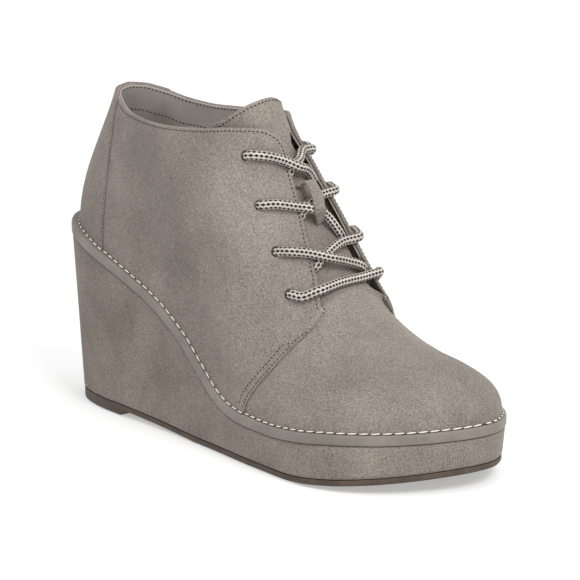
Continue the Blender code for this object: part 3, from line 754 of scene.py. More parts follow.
def sheet(bm, us, vs, point, rise=None, flip=False):
    """A grid laid on a surface; rise gives its heights over and under the surface."""
    columns, rows = len(us) - 1, len(vs) - 1
    over = bm.verts.layers.float.get("over") or bm.verts.layers.float.new("over")
    under = bm.verts.layers.float.get("under") or bm.verts.layers.float.new("under")
    uv = bm.loops.layers.uv.get("UVMap") or bm.loops.layers.uv.new("UVMap")
    made = bmesh.ops.create_grid(bm, x_segments=columns, y_segments=rows, size=1.0)
    where = {}
    for vert in made["verts"]:
        u = us[round((vert.co.x + 1.0) / 2.0 * columns)]
        v = vs[round((vert.co.y + 1.0) / 2.0 * rows)]
        where[vert] = (u, v)
        vert.co = point(u, v)
        if rise is not None:
            vert[over], vert[under] = rise(u, v)
    faces = list({face for vert in made["verts"] for face in vert.link_faces})
    for face in faces:
        for loop in face.loops:
            loop[uv].uv = where[loop.vert]
    if flip:
        bmesh.ops.reverse_faces(bm, faces=faces)
    return faces


def merge(bm, distance=0.004):
    bmesh.ops.remove_doubles(bm, verts=bm.verts, dist=distance)
    bmesh.ops.dissolve_degenerate(bm, edges=bm.edges, dist=distance / 4)


def fold(bm):
    """Lift the creases of the upper out of a sheet."""
    bm.normal_update()
    for vert in bm.verts:
        vert.co += vert.normal * fold_height(vert.co)


def thicken(bm):
    """Extrude a sheet into a closed wall between its two heights."""
    away = bm.verts.layers.float_vector.new("away")
    over, under = bm.verts.layers.float["over"], bm.verts.layers.float["under"]
    bm.normal_update()
    for vert in bm.verts:
        vert[away] = vert.normal
    inner = list(bm.verts)
    inner_faces = list(bm.faces)
    made = bmesh.ops.extrude_face_region(bm, geom=inner_faces, use_keep_orig=True)
    outer = [item for item in made["geom"] if isinstance(item, bmesh.types.BMVert)]
    for vert in inner:
        vert.co += vert[away] * vert[under]
    for vert in outer:
        vert.co += vert[away] * vert[over]
    bmesh.ops.recalc_face_normals(bm, faces=bm.faces)
    return [face for face in inner_faces if face.is_valid]


def rest_on_welt(bm):
    for vert in bm.verts:
        vert.co.z = max(vert.co.z, welt_top(vert.co.x) + FOOT_GAP)


def piece(bm, name, mat, replaced=(), sharp=40.0, others=()):
    """Turn a mesh in millimetres into a finished object that rides on the frame."""
    for vert in bm.verts:
        vert.co = place(vert.co)
    for layer in ("over", "under"):
        found = bm.verts.layers.float.get(layer)
        if found is not None:
            bm.verts.layers.float.remove(found)
    found = bm.verts.layers.float_vector.get("away")
    if found is not None:
        bm.verts.layers.float_vector.remove(found)
    mesh = bpy.data.meshes.new(name)
    bm.to_mesh(mesh)
    bm.free()
    mesh.materials.append(mat)
    for other in others:
        mesh.materials.append(other)
    mesh.shade_smooth()
    mesh.set_sharp_from_angle(angle=math.radians(sharp))
    obj = bpy.data.objects.new(name, mesh)
    bpy.context.scene.collection.objects.link(obj)
    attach(obj, "root")
    if replaced:
        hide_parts(*replaced)
    return obj


def wrap(values):
    """Stations of both sides: medial front, heel, lateral front, as signed numbers."""
    return [value for value in reversed(values)] + [-value for value in values[1:]]


def side_of(signed):
    return (1 if signed > 0 else -1), abs(signed)


def unroll(q):
    """Side and station on the way round: lateral heel to toe, then medial back."""
    return (-1, q) if q <= 1.0 else (1, 2.0 - q)


def wall_stations(low, high, step):
    return spread(
        low, high, step,
        lambda t: surface(-1, t, 0.0), lambda t: surface(-1, t, 1.0),
        lambda t: surface(1, t, 0.5),
    )


def cut_holes(obj, radius):
    """Punch the eight lace holes square through a wall."""
    bm = bmesh.new()
    for side in SIDES:
        for number in range(1, len(EYELETS)):
            t, v = eyelet_spot(side, number)
            turn = Vector((0.0, 0.0, 1.0)).rotation_difference(surface_normal(side, t, v))
            spot = Matrix.Translation(place(surface(side, t, v))) @ turn.to_matrix().to_4x4()
            bmesh.ops.create_cone(
                bm, cap_ends=True, segments=28, radius1=radius, radius2=radius,
                depth=10.0 * MM, matrix=spot,
            )
    mesh = bpy.data.meshes.new("punch")
    bm.to_mesh(mesh)
    bm.free()
    punch = bpy.data.objects.new("punch", mesh)
    bpy.context.scene.collection.objects.link(punch)
    cut = obj.modifiers.new("punch", "BOOLEAN")
    cut.operation = "DIFFERENCE"
    cut.solver = "EXACT"
    cut.object = punch
    depsgraph = bpy.context.evaluated_depsgraph_get()
    final = bpy.data.meshes.new_from_object(obj.evaluated_get(depsgraph))
    obj.modifiers.clear()
    obj.data = final
    final.set_sharp_from_angle(angle=math.radians(40.0))
    bpy.data.objects.remove(punch, do_unlink=True)


def even_steps(count):
    """Shares from 0 to 1 in even steps."""
    return [k / count for k in range(count + 1)]


def heights(outer, inner, share):
    """Heights of a wall's two faces, drawn together where its edge is rounded."""
    middle, half = (outer + inner) / 2, (outer - inner) / 2
    return middle + half * share, middle - half * share


def heel_wall(ts, vs, point, rise):
    """A creased wall round the heel that stands on the welt, closed between its heights."""
    bm = bmesh.new()
    sheet(bm, wrap(ts), vs, point, rise)
    merge(bm)
    fold(bm)
    thicken(bm)
    rest_on_welt(bm)
    return bm


def build_quarters(settings):
    """Both quarters in one piece round the heel, with rounded edges and holes."""
    edge = (0.12, 0.35, 0.7, 1.15, 1.7)
    ts = wall_stations(0.0, QUARTER_T, settings.grid_step / MM)
    ts = with_edge(ts, QUARTER_T, [e / QUARTER_REACH for e in edge])
    vs = with_edge(even_steps(46), 1.0, [e / WALL_REACH for e in edge])

    def point(s, v):
        side, t = side_of(s)
        return surface(side, stretched(t, v), v)

    def rise(s, v):
        side, t = side_of(s)
        inner = -SHELL + SHELL * ease((t - SHELL_END_T) / SHELL_FADE_T) + 0.03
        gap = min((1.0 - v) * rim_scale(side, t), (QUARTER_T - t) * QUARTER_REACH)
        radius = 0.9 * (QUARTER_RAISE - inner) / 2
        return heights(QUARTER_RAISE, inner, rounded(gap, radius))

    bm = heel_wall(ts, vs, point, rise)
    obj = piece(bm, "quarters", suede_material(), ("upper",))
    cut_holes(obj, settings.eyelet_radius)


def build_heel_strip(settings):
    """The strip that covers the heel seam."""
    edge = (0.1, 0.25, 0.45, 0.75)
    ts = wall_stations(0.0, STRIP_T, settings.grid_step / MM)
    ts = with_edge(ts, STRIP_T, [e / STRIP_REACH for e in edge])
    vs = with_edge(even_steps(60), 1.0, [e / WALL_REACH for e in edge])

    def point(s, v):
        side, t = side_of(s)
        return surface(side, t, v)

    def rise(s, v):
        side, t = side_of(s)
        gap = min((1.0 - v) * rim_scale(side, t), (STRIP_T - t) * STRIP_REACH)
        return heights(QUARTER_RAISE + STRIP_RAISE, QUARTER_RAISE + 0.02, rounded(gap, 0.45))

    bm = heel_wall(ts, vs, point, rise)
    piece(bm, "heel_strip", suede_material())


def build_lining(settings):
    """The smooth lining of the quarters, a little below their rim."""
    ts = wall_stations(0.0, LINING_T, 1.6 * settings.grid_step / MM)
    vs = with_edge(even_steps(36), 1.0, [e / WALL_REACH for e in (0.1, 0.3, 0.6)])

    def point(s, v):
        side, t = side_of(s)
        return surface(side, t, v * (1.0 - LINING_DROP / rim_scale(side, t)))

    def rise(s, v):
        side, t = side_of(s)
        half = LINING_HALF * rounded((1.0 - v) * rim_scale(side, t), 0.35)
        return -LINING_DEPTH + half, -LINING_DEPTH - half

    bm = heel_wall(ts, vs, point, rise)
    obj = piece(bm, "lining", lining_material())
    cut_holes(obj, settings.eyelet_radius)


@lru_cache(maxsize=None)
def throat_stations():
    return spread(JOIN_T, THROAT_T, TONGUE_STEP, lambda t: surface(-1, t, 1.0))


@lru_cache(maxsize=None)
def tongue_rows():
    """Rows of points up the tongue, from the throat's line to its top edge."""
    throat_ts = throat_stations()
    line = [surface(-1, JOIN_T, v) for v in FLANK_LEVELS[:-1]]
    line += [surface(-1, t, 1.0) for t in throat_ts]
    line += [surface(1, t, 1.0) for t in reversed(throat_ts[:-1])]
    line += [surface(1, JOIN_T, v) for v in reversed(FLANK_LEVELS[:-1])]
    flank_count = len(FLANK_LEVELS) - 1
    span_count = 2 * (len(throat_ts) - 1)

    def row(t):
        sunk = ease((JOIN_T - t) / TONGUE_SUNK_T)
        flanks = {}
        for side, gap in ((-1, TONGUE_GAP_LATERAL), (1, TONGUE_GAP_MEDIAL)):
            depth = sunk * (WALL + gap) + 0.02
            flanks[side] = [
                surface(side, t, v) - depth * surface_normal(side, t, v) for v in FLANK_LEVELS
            ]
        start, end = flanks[-1][-1], flanks[1][-1]
        pull = TONGUE_ARCH * (end - start).length
        low = start + (start - flanks[-1][-3]).normalized() * pull
        high = end + (end - flanks[1][-3]).normalized() * pull
        span = []
        for k in range(1, span_count):
            v = k / span_count
            w = 1.0 - v
            span.append(
                w ** 3 * start + 3 * w * w * v * low + 3 * w * v * v * high + v ** 3 * end
            )
        return flanks[-1] + span + flanks[1][::-1]

    first = row(JOIN_T)
    drift = [a - b for a, b in zip(line, first)]
    ts = spread(TONGUE_LAST_T, JOIN_T, TONGUE_STEP, lambda t: surface(-1, t, 1.0))[::-1]
    rows = [line]
    for t in ts[1:]:
        kept = 1.0 - ease((JOIN_T - t) / TONGUE_DRIFT_T)
        rows.append([p + kept * d for p, d in zip(row(t), drift)])
    shares = [0.25 * k / flank_count for k in range(flank_count)]
    shares += [0.25 + 0.5 * k / span_count for k in range(span_count + 1)]
    shares += [1.0 - share for share in reversed(shares[:flank_count])]
    shaped = []
    for table in (TONGUE_COLLAR, TONGUE_TOP):
        shaped.append([
            Vector([smooth(table, key, w) for key in ("x", "y", "z")]) for w in shares
        ])
    knots = [row(t) for t in TONGUE_BEND_TS] + [rows[-1]] + shaped
    columns = []
    for k in range(len(line)):
        columns.append(flow([knot[k] for knot in knots], 64))
    start_share = []
    for k, column in enumerate(columns):
        nearest = min(range(len(column)), key=lambda i: (column[i] - knots[2][k]).length)
        start_share.append(nearest)
    upper_count = round(FLAP_LENGTH / TONGUE_STEP)
    for i in range(1, upper_count + 1):
        share = i / upper_count
        new_row = []
        for k, column in enumerate(columns):
            first_index = start_share[k]
            at = first_index + share * (len(column) - 1 - first_index)
            low_index = min(int(at), len(column) - 2)
            new_row.append(column[low_index].lerp(column[low_index + 1], at - low_index))
        rows.append(new_row)
    return rows


def build_vamp_and_tongue(settings):
    """The vamp and the tongue it runs into, in one wall."""
    step = settings.grid_step / MM
    lower = [FLANK_V * k / 40 for k in range(41)]
    levels = lower + FLANK_LEVELS[1:]
    throat_ts = throat_stations()
    after = spread(
        THROAT_T, 1.0, step, lambda t: surface(-1, t, 0.0), lambda t: surface(-1, t, 1.0)
    )
    half = throat_ts + after[1:]
    qs = half + [2.0 - t for t in reversed(half[:-1])]

    def point(q, v):
        side, t = unroll(q)
        return surface(side, t, v)

    def rise(q, v):
        return 0.0, -WALL

    bm = bmesh.new()
    sheet(bm, qs, levels, point, rise)
    under = [VAMP_T, (VAMP_T + JOIN_T) / 2, JOIN_T]
    sheet(bm, under, lower, point, rise)
    sheet(bm, [2.0 - t for t in reversed(under)], lower, point, rise)
    rows = tongue_rows()
    thin = [0.0] * len(rows)
    total = len(rows) - 1
    for back, share in ((0, 0.35), (1, 0.85)):
        thin[total - back] = 1.0 - share

    def tongue_point(i, j):
        return rows[j][i]

    def tongue_rise(i, j):
        half_wall = TONGUE_WALL / 2
        share = 1.0 - thin[j]
        return half_wall * share - half_wall, -half_wall * share - half_wall

    sheet(bm, range(len(rows[0])), range(len(rows)), tongue_point, tongue_rise)
    merge(bm, 0.01)
    fold(bm)
    inner = thicken(bm)
    for face in inner:
        face.material_index = 1
    rest_on_welt(bm)
    piece(
        bm, "vamp_and_tongue", suede_material(), ("tongue",),
        others=(lining_material(),),
    )


def ring_stations(step):
    return spread(0.0, 1.0, step, lambda t: edge_point(-1, t))


def round_trip(stations):
    return stations + [2.0 - t for t in reversed(stations[:-1])]


def profile_sheet(bm, stations, profile):
    """Rings round the sole, one for each (inset point function, height function)."""

    def point(q, k):
        side, t = unroll(q)
        spot, height = profile[k]
        return at_height(spot(side, t), height)

    sheet(bm, round_trip(stations), range(len(profile)), point)


def lid(bm, stations, shares, spot, height, flip):
    """A cover of strips that run straight across the foot."""

    def point(t, w):
        flat = spot(-1, t).lerp(spot(1, t), w)
        return Vector((flat.x, flat.y, height(flat.x, w)))

    sheet(bm, stations, shares, point, None, flip)


def inset(amount):
    return lambda side, t: rim(side, t, amount)


def drawn_in(extra):
    return lambda side, t: bottom_point(side, t, extra)


def build_welt(settings):
    """The smooth band between the wedge and the upper."""
    rounding = ((0.0, 0.8), (0.06, 0.5), (0.22, 0.22), (0.5, 0.06), (0.9, 0.0))

    def base(x):
        return deck(x) + 0.12

    profile = [(inset(WELT_WIDTH), base)]
    for side_in, up in reversed(rounding):
        profile.append((inset(side_in), lambda x, up=up: base(x) + up))
    for side_in, down in rounding:
        profile.append((inset(side_in), lambda x, down=down: welt_top(x) - down))
    profile.append((inset(WELT_WIDTH), welt_top))
    profile.append(profile[0])
    bm = bmesh.new()
    profile_sheet(bm, ring_stations(1.2), profile)
    merge(bm)
    bmesh.ops.recalc_face_normals(bm, faces=bm.faces)
    piece(bm, "welt_band", band_material(), ("welt",))


def capped(stations, profile, upper, lower):
    """Rings round the sole with a lid above and below: (shares, height function)."""
    bm = bmesh.new()
    profile_sheet(bm, stations, profile)
    lid(bm, stations, upper[0], profile[-1][0], upper[1], False)
    lid(bm, stations, lower[0], profile[0][0], lower[1], True)
    merge(bm)
    bmesh.ops.recalc_face_normals(bm, faces=bm.faces)
    return bm


def build_wedge(settings):
    """The covered block, its cover turned under at the lower edge."""
    def base(x):
        return outsole_top(x) + 0.12

    def flank(share):
        def spot(side, t):
            return bottom_point(side, t, -0.3).lerp(rim(side, t, 0.5), share)

        def height(x):
            return (base(x) + 1.6) * (1.0 - share) + (deck(x) - 1.1) * share

        return spot, height

    profile = [
        (drawn_in(1.4), base),
        (drawn_in(0.5), lambda x: base(x) + 0.12),
        (drawn_in(-0.05), lambda x: base(x) + 0.6),
    ]
    profile += [flank(share) for share in even_steps(26)]
    profile += [
        (inset(0.62), lambda x: deck(x) - 0.5),
        (inset(1.0), lambda x: deck(x) - 0.12),
        (inset(1.6), deck),
    ]
    ends = (0.0, 1.0)
    bm = capped(
        ring_stations(1.3), profile, (ends, lambda x, w: deck(x)), (ends, lambda x, w: base(x))
    )
    piece(bm, "wedge_cover", cover_material(), ("wedge",))


def tread(x, w):
    """Depth of the grooves under the forefoot and under the heel's top piece."""
    edge = min(w, 1.0 - w)
    if edge < TREAD_RIM:
        return 0.0
    fade = ease((edge - TREAD_RIM) / 0.03)
    bow = 5.0 * math.cos(math.pi * (w - 0.5) * 2.0)
    for grooves, shift in ((FOREFOOT_TREAD, bow), (HEEL_TREAD, w * 30.0)):
        start, end, pitch, width, depth = grooves
        if start < x < end:
            return depth * fade if (x + shift) % pitch < width else 0.0
    return 0.0


def build_outsole(settings):
    """The thin rubber sole with its heel piece and a fine tread."""
    profile = (
        (drawn_in(1.2), ground),
        (drawn_in(0.62), lambda x: ground(x) + 0.1),
        (drawn_in(0.2), lambda x: ground(x) + 0.6),
        (drawn_in(0.0), lambda x: ground(x) + 1.2),
        (drawn_in(0.0), lambda x: outsole_top(x) - 0.3),
        (drawn_in(0.25), outsole_top),
    )
    bm = capped(
        ring_stations(settings.tread_step / MM), profile,
        ((0.0, 1.0), lambda x, w: outsole_top(x)),
        (even_steps(28), lambda x, w: ground(x) + tread(x, w)),
    )
    piece(bm, "rubber_sole", rubber_material(), ("outsole",), sharp=30.0)


def build_footbed(settings):
    """The padded footbed that fills the inside up to the wall."""
    def spot(extra):
        return lambda side, t: rim(side, t, smooth(LEDGE, "inset", t) + WALL + 0.35 + extra)

    def seat(x):
        return welt_top(x) + 0.1

    def top(x):
        return seat(x) + INSOLE_RISE

    profile = (
        (spot(0.2), seat),
        (spot(0.0), lambda x: seat(x) + 0.3),
        (spot(0.0), lambda x: top(x) - 0.5),
        (spot(0.3), lambda x: top(x) - 0.1),
        (spot(0.9), top),
    )
    bm = capped(
        ring_stations(2.0), profile,
        (even_steps(16), lambda x, w: top(x) - 0.9 * math.sin(math.pi * w) ** 2),
        ((0.0, 1.0), lambda x, w: seat(x)),
    )
    piece(bm, "footbed", lining_material(), ("insole",))


def stitch(bm, centre, along, away, length, width, height):
    """One stitch: a small rounded grain of thread."""
    along = along.normalized()
    away = (away - away.dot(along) * along).normalized()
    across = away.cross(along)
    turn = Matrix((along * length / 2, across * width / 2, away * height / 2)).transposed()
    spot = Matrix.Translation(centre) @ turn.to_4x4()
    bmesh.ops.create_icosphere(bm, subdivisions=2, radius=1.0, matrix=spot)


def sew(bm, path, pitch, length, width, height, lean=0.0):
    """Stitches at an even pitch along a path of (point, outward direction)."""
    travelled = 0.0
    ahead = pitch / 2
    for (a, up_a), (b, up_b) in zip(path, path[1:]):
        gap = (b - a).length
        while gap > 1e-9 and ahead <= travelled + gap:
            share = (ahead - travelled) / gap
            away = up_a.lerp(up_b, share)
            along = (b - a).normalized() + lean * away
            stitch(bm, a.lerp(b, share), along, away, length, width, height)
            ahead += pitch
        travelled += gap


def lifted(side, t, v, height):
    """A place on the creased upper at a height over the thin wall, and its normal."""
    away = surface_normal(side, t, v)
    spot = surface(side, t, v)
    return spot + away * (height + fold_height(spot)), away


def rim_path(side, low, high, distance, height, step=0.6):
    """A line on the wall that keeps its distance from the top edge."""
    ts = spread(low, high, step, lambda t: surface(side, t, 1.0))
    return [lifted(side, t, 1.0 - distance / rim_scale(side, t), height) for t in ts]


def behind_edge(side, v, distance):
    """A place (t, v) at a distance behind the quarter's front edge."""
    lean = (front_edge(min(1.0, v + 0.002)) - front_edge(max(0.0, v - 0.002))) / 0.004
    return inside(side, front_edge(v), v, lean, distance)


def front_path(side, low, high, distance, height, steps=240):
    """A line on the quarter that keeps its distance from its front edge."""
    places = [
        behind_edge(side, high + (low - high) * k / steps, distance) for k in range(steps + 1)
    ]
    path = []
    for k in range(steps + 1):
        near = places[max(0, k - 6) : k + 7]
        t = sum(place[0] for place in near) / len(near)
        v = sum(place[1] for place in near) / len(near)
        path.append(lifted(side, t, v, height))
    return path


def tongue_edge_path(height):
    """A line near the tongue's top edge, with its outward direction."""
    rows = tongue_rows()
    row, above = rows[-3], rows[-1]
    path = []
    for k in range(1, len(row) - 1):
        away = (row[k + 1] - row[k - 1]).cross(above[k] - row[k]).normalized()
        path.append((row[k].lerp(above[k], 0.35) + away * height, away))
    return path


def build_seams(settings):
    """Rows of stitches on collar, facings, quarters, heel strip, lining and tongue."""
    length = settings.stitch_length / MM
    pitch = settings.stitch_pitch / MM
    width = settings.thread_width / MM
    bm = bmesh.new()
    height = QUARTER_RAISE
    for side in SIDES:
        rows = [
            rim_path(side, STRIP_T + 0.003, 0.5868, 1.5, height),
            front_path(side, 0.03, 0.975, 1.0, height),
            front_path(side, 0.03, 0.585, 4.0, height),
            [lifted(side, *behind_edge(side, 0.6, 1.6 + 0.2 * k), height) for k in range(24)],
        ]
        for path in rows:
            sew(bm, path, pitch, length, width, 0.7 * width)
        strip = [
            lifted(side, STRIP_T - 0.7 / STRIP_REACH, k / 120, QUARTER_RAISE + STRIP_RAISE)
            for k in range(3, 119)
        ]
        sew(bm, strip, 0.8 * pitch, 0.7 * length, 0.6 * width, 0.5 * width)
        for distance, low, high in ((1.3, 0.01, 0.535), (11.0, 0.01, 0.50)):
            inner = rim_path(side, low, high, distance, -WALL - 0.02)
            inner = [(point, -away) for point, away in inner]
            sew(bm, inner, pitch, length, width, 0.7 * width)
    sew(bm, tongue_edge_path(0.02), pitch, length, width, 0.7 * width)
    thread = thread_material("seam_thread", (0.03, 0.025, 0.021))
    piece(bm, "seam_stitches", thread)
    bm = bmesh.new()
    for side in SIDES:
        path = []
        for t in spread(0.0, 1.0, 0.6, lambda t: upper_foot(side, t)):
            away = outward(side, t)
            raised = QUARTER_RAISE if t < QUARTER_T else 0.0
            if t < STRIP_T:
                raised += STRIP_RAISE
            spot = upper_foot(side, t) + away * (raised + 0.45)
            spot.z = welt_top(spot.x) + 0.55
            path.append((spot, (away + Vector((0.0, 0.0, 1.2))).normalized()))
        sew(bm, path, settings.welt_pitch / MM, *WELT_STITCH)
    piece(bm, "welt_stitches", thread_material("welt_thread", (0.82, 0.77, 0.68)))


def tube(bm, knots, radius, tuck=False, step=0.7, sides=20):
    """A round cord along a smooth line, squeezed at a tucked end; returns its length."""
    rough = flow(knots, 160)
    length = curve_length(rough)
    count = max(8, round(length / step))
    line = flow(knots, count)
    tangents = []
    for k in range(count):
        tangents.append((line[min(count - 1, k + 1)] - line[max(0, k - 1)]).normalized())
    across = tangents[0].orthogonal().normalized()
    frames = []
    for tangent in tangents:
        across = (across - across.dot(tangent) * tangent).normalized()
        frames.append((across, tangent.cross(across)))
    reach = [0.0]
    for a, b in zip(line, line[1:]):
        reach.append(reach[-1] + (b - a).length)
    index = {s: k for k, s in enumerate(reach)}

    def point(s, turn):
        k = index[s]
        angle = 2.0 * math.pi * turn
        first, second = frames[k]
        share = 0.35 + 0.65 * ease((reach[-1] - s) / 4.0) if tuck else 1.0
        return line[k] + share * radius * (math.cos(angle) * first + math.sin(angle) * second)

    sheet(bm, reach, even_steps(sides), point)
    return length


def close_tubes(bm):
    merge(bm, 0.002)
    open_edges = [edge for edge in bm.edges if edge.is_boundary]
    bmesh.ops.holes_fill(bm, edges=open_edges, sides=0)
    bmesh.ops.recalc_face_normals(bm, faces=bm.faces)


def place_of(kind, t, across, height):
    """A knot of a lace: on a quarter, or over the tongue at a height."""
    if kind == "T":
        return above_tongue(t, across, height)
    side = -1 if kind == "Q" else 1
    return surface(side, t, across) + height * surface_normal(side, t, min(across, 0.97))


def dive(side, number, before, radius):
    """Knots of a strand that bends down through its hole, coming from a knot before it."""
    t, v = eyelet_spot(side, number)
    away = surface_normal(side, t, v)
    spot = surface(side, t, v)
    run = spot - before
    run = (run - run.dot(away) * away).normalized()
    return [
        spot - run * 2.8 + away * (QUARTER_RAISE + 0.74 * radius),
        spot - run * 0.8 + away * (QUARTER_RAISE + 0.10 * radius),
        spot - run * 0.1 - away * 0.7,
        spot + run * 0.1 - away * 2.0,
    ]


def build_laces(settings):
    """The lacing: a bar at the bottom and three crossings through the eyelets."""
    radius = settings.lace_radius / MM
    on_quarter = QUARTER_RAISE + radius + 0.05
    mat = cord_material(settings)
    meshes = {}
    total = 0.0
    for node, kind, number, far_end, knots in STRANDS:
        points = [place_of(*(knot if len(knot) > 3 else knot + (on_quarter,))) for knot in knots]
        side = -1 if kind == "Q" else 1
        points = dive(side, number, points[0], radius)[::-1] + points
        if far_end:
            points += dive(-side, number, points[-1], radius)
        bm = meshes.setdefault(node, bmesh.new())
        total += tube(bm, points, radius, tuck=not far_end)
    for node, bm in meshes.items():
        close_tubes(bm)
        piece(bm, node.replace("lace_", "laced_"), mat, (node,))
    print(f"lace length that shows {total:.0f} mm")


def build_keeper(settings):
    """The strap on the tongue that holds the lace, its lower end tucked in."""
    half_width = settings.keeper_width / MM / 2
    line = flow([above_tongue(*knot) for knot in KEEPER_KNOTS], 57)
    widths = (-1.0, -0.94, -0.8, -0.4, 0.0, 0.4, 0.8, 0.94, 1.0)
    across = []
    for k in range(len(line)):
        share = k / (len(line) - 1)
        turned = ease(share / 0.4) * (1.0 - 0.85 * ease((share - 0.6) / 0.4))
        wanted = Vector((-0.25, 0.97, 0.0)).lerp(Vector((0.35, 0.93, 0.0)), turned)
        run = (line[min(k + 1, len(line) - 1)] - line[max(k - 1, 0)]).normalized()
        across.append((wanted - wanted.dot(run) * run).normalized())

    def point(w, k):
        return line[k] + across[k] * w * half_width

    def rise(w, k):
        share = 0.35 if abs(w) == 1.0 else (0.8 if abs(w) > 0.9 else 1.0)
        return 0.6 * share, -0.6 * share

    bm = bmesh.new()
    sheet(bm, widths, range(len(line) - 1, -1, -1), point, rise)
    thicken(bm)
    piece(bm, "keeper_strap", suede_material(), ("lace_keeper",))


def new_material(name):
    """A material with its nodes, their links and the main shader."""
    mat = bpy.data.materials.get(name)
    if mat is not None:
        return mat, None, None, None
    mat = bpy.data.materials.new(name)
    mat.use_nodes = True
    tree = mat.node_tree
    return mat, tree.nodes, tree.links, tree.nodes["Principled BSDF"]


class Wiring:
    """Short ways to add nodes to one material."""

    def __init__(self, nodes, links):
        self.nodes = nodes
        self.links = links
        self.coords = nodes.new("ShaderNodeTexCoord")

    def noise(self, size, detail=4.0, roughness=0.5, stretch=(1.0, 1.0, 1.0), offset=0.0):
        mapping = self.nodes.new("ShaderNodeMapping")
        mapping.inputs["Scale"].default_value = [s / (size * MM) for s in stretch]
        mapping.inputs["Location"].default_value = (offset, offset, offset)
        self.links.new(self.coords.outputs["Object"], mapping.inputs["Vector"])
        node = self.nodes.new("ShaderNodeTexNoise")
        node.inputs["Scale"].default_value = 1.0
        node.inputs["Detail"].default_value = detail
        node.inputs["Roughness"].default_value = roughness
        self.links.new(mapping.outputs["Vector"], node.inputs["Vector"])
        return node.outputs["Fac"]

    def math(self, operation, a, b=None, clamp=False):
        node = self.nodes.new("ShaderNodeMath")
        node.operation = operation
        node.use_clamp = clamp
        for socket, value in zip(node.inputs, (a, b)):
            if value is None:
                continue
            if isinstance(value, (int, float)):
                socket.default_value = value
            else:
                self.links.new(value, socket)
        return node.outputs[0]

    def remap(self, value, low, high, to_low, to_high):
        node = self.nodes.new("ShaderNodeMapRange")
        self.links.new(value, node.inputs["Value"])
        for key, number in zip(
            ("From Min", "From Max", "To Min", "To Max"), (low, high, to_low, to_high)
        ):
            node.inputs[key].default_value = number
        return node.outputs["Result"]

    def mix(self, share, first, second):
        node = self.nodes.new("ShaderNodeMix")
        node.data_type = "RGBA"
        sockets = (node.inputs[0], node.inputs[6], node.inputs[7])
        for socket, value in zip(sockets, (share, first, second)):
            if isinstance(value, tuple):
                socket.default_value = (*value, 1.0)
            elif isinstance(value, (int, float)):
                socket.default_value = value
            else:
                self.links.new(value, socket)
        return node.outputs[2]

    def drift(self, value, dark, light):
        """A colour that drifts between two tones with a noise."""
        return self.mix(self.remap(value, 0.35, 0.65, 0.0, 1.0), dark, light)

    def off_middle(self, value):
        """How far a repeating value is from the middle of its step."""
        return self.math("ABSOLUTE", self.math("SUBTRACT", self.math("FRACT", value), 0.5))

    def ripple(self, value):
        return self.math("SINE", self.math("MULTIPLY", value, 6.2832 * 2))

    def scale_colour(self, colour, factor):
        node = self.nodes.new("ShaderNodeMix")
        node.data_type = "RGBA"
        node.blend_type = "MULTIPLY"
        node.inputs[0].default_value = 1.0
        self.links.new(colour, node.inputs[6])
        grey = self.nodes.new("ShaderNodeCombineColor")
        for socket in grey.inputs:
            self.links.new(factor, socket)
        self.links.new(grey.outputs[0], node.inputs[7])
        return node.outputs[2]

    def tone(self, colour, painted_light_and_patches):
        """Painted light and shade, along with the suede's own patches: soft lighter and darker
        places, each with a centre, a reach and a factor.
        """
        for centre, reach, factor in painted_light_and_patches:
            apart = self.nodes.new("ShaderNodeVectorMath")
            apart.operation = "DISTANCE"
            apart.inputs[1].default_value = [c * MM for c in centre]
            self.links.new(self.coords.outputs["Object"], apart.inputs[0])
            node = self.nodes.new("ShaderNodeMapRange")
            node.interpolation_type = "SMOOTHSTEP"
            node.inputs["From Min"].default_value = 0.0
            node.inputs["From Max"].default_value = reach * MM
            node.inputs["To Min"].default_value = factor
            node.inputs["To Max"].default_value = 1.0
            self.links.new(apart.outputs["Value"], node.inputs["Value"])
            colour = self.scale_colour(colour, node.outputs["Result"])
        return colour

    def bump(self, height, distance, strength=1.0, below=None):
        node = self.nodes.new("ShaderNodeBump")
        node.inputs["Strength"].default_value = strength
        node.inputs["Distance"].default_value = distance * MM
        self.links.new(height, node.inputs["Height"])
        if below is not None:
            self.links.new(below, node.inputs["Normal"])
        return node.outputs["Normal"]


def nap_material(name, dark, light, patch, grain, painted_light_and_patches):
    """Suede: drifting light and dark patches, mottling, grain and a soft nap."""
    mat, nodes, links, shader = new_material(name)
    if nodes is None:
        return mat
    wire = Wiring(nodes, links)
    patches = wire.noise(patch, 2.0, 0.5)
    mottle = wire.noise(5.0, 3.0, 0.6, offset=3.0)
    fine = wire.noise(0.6, 1.5, 0.7, offset=7.0)
    share = wire.remap(patches, 0.3, 0.7, 0.0, 1.0)
    colour = wire.mix(share, dark, light)
    colour = wire.scale_colour(colour, wire.remap(mottle, 0.3, 0.7, 0.95, 1.05))
    colour = wire.scale_colour(colour, wire.remap(fine, 0.25, 0.75, 1.0 - grain, 1.0 + grain))
    # the spots paint light and shade into the base colour, along with the suede's own patches
    links.new(wire.tone(colour, painted_light_and_patches), shader.inputs["Base Color"])
    shader.inputs["Roughness"].default_value = 0.95
    shader.inputs["Specular IOR Level"].default_value = 0.12
    shader.inputs["Sheen Weight"].default_value = 0.15
    shader.inputs["Sheen Roughness"].default_value = 0.45
    shader.inputs["Sheen Tint"].default_value = (0.93, 0.88, 0.82, 1.0)
    coarse = wire.bump(mottle, 0.25, 0.35)
    nap = wire.bump(fine, 0.16, 0.6, coarse)
    links.new(nap, shader.inputs["Normal"])
    return mat


def suede_material():
    dark, light = (0.172, 0.15, 0.13), (0.23, 0.2, 0.175)
    return nap_material("suede", dark, light, 30.0, 0.5, SUEDE_PAINTED_LIGHT_AND_PATCHES)


def cover_material():
    dark, light = (0.155, 0.133, 0.114), (0.222, 0.191, 0.165)
    return nap_material("wedge_suede", dark, light, 26.0, 0.5, COVER_PAINTED_LIGHT_AND_PATCHES)


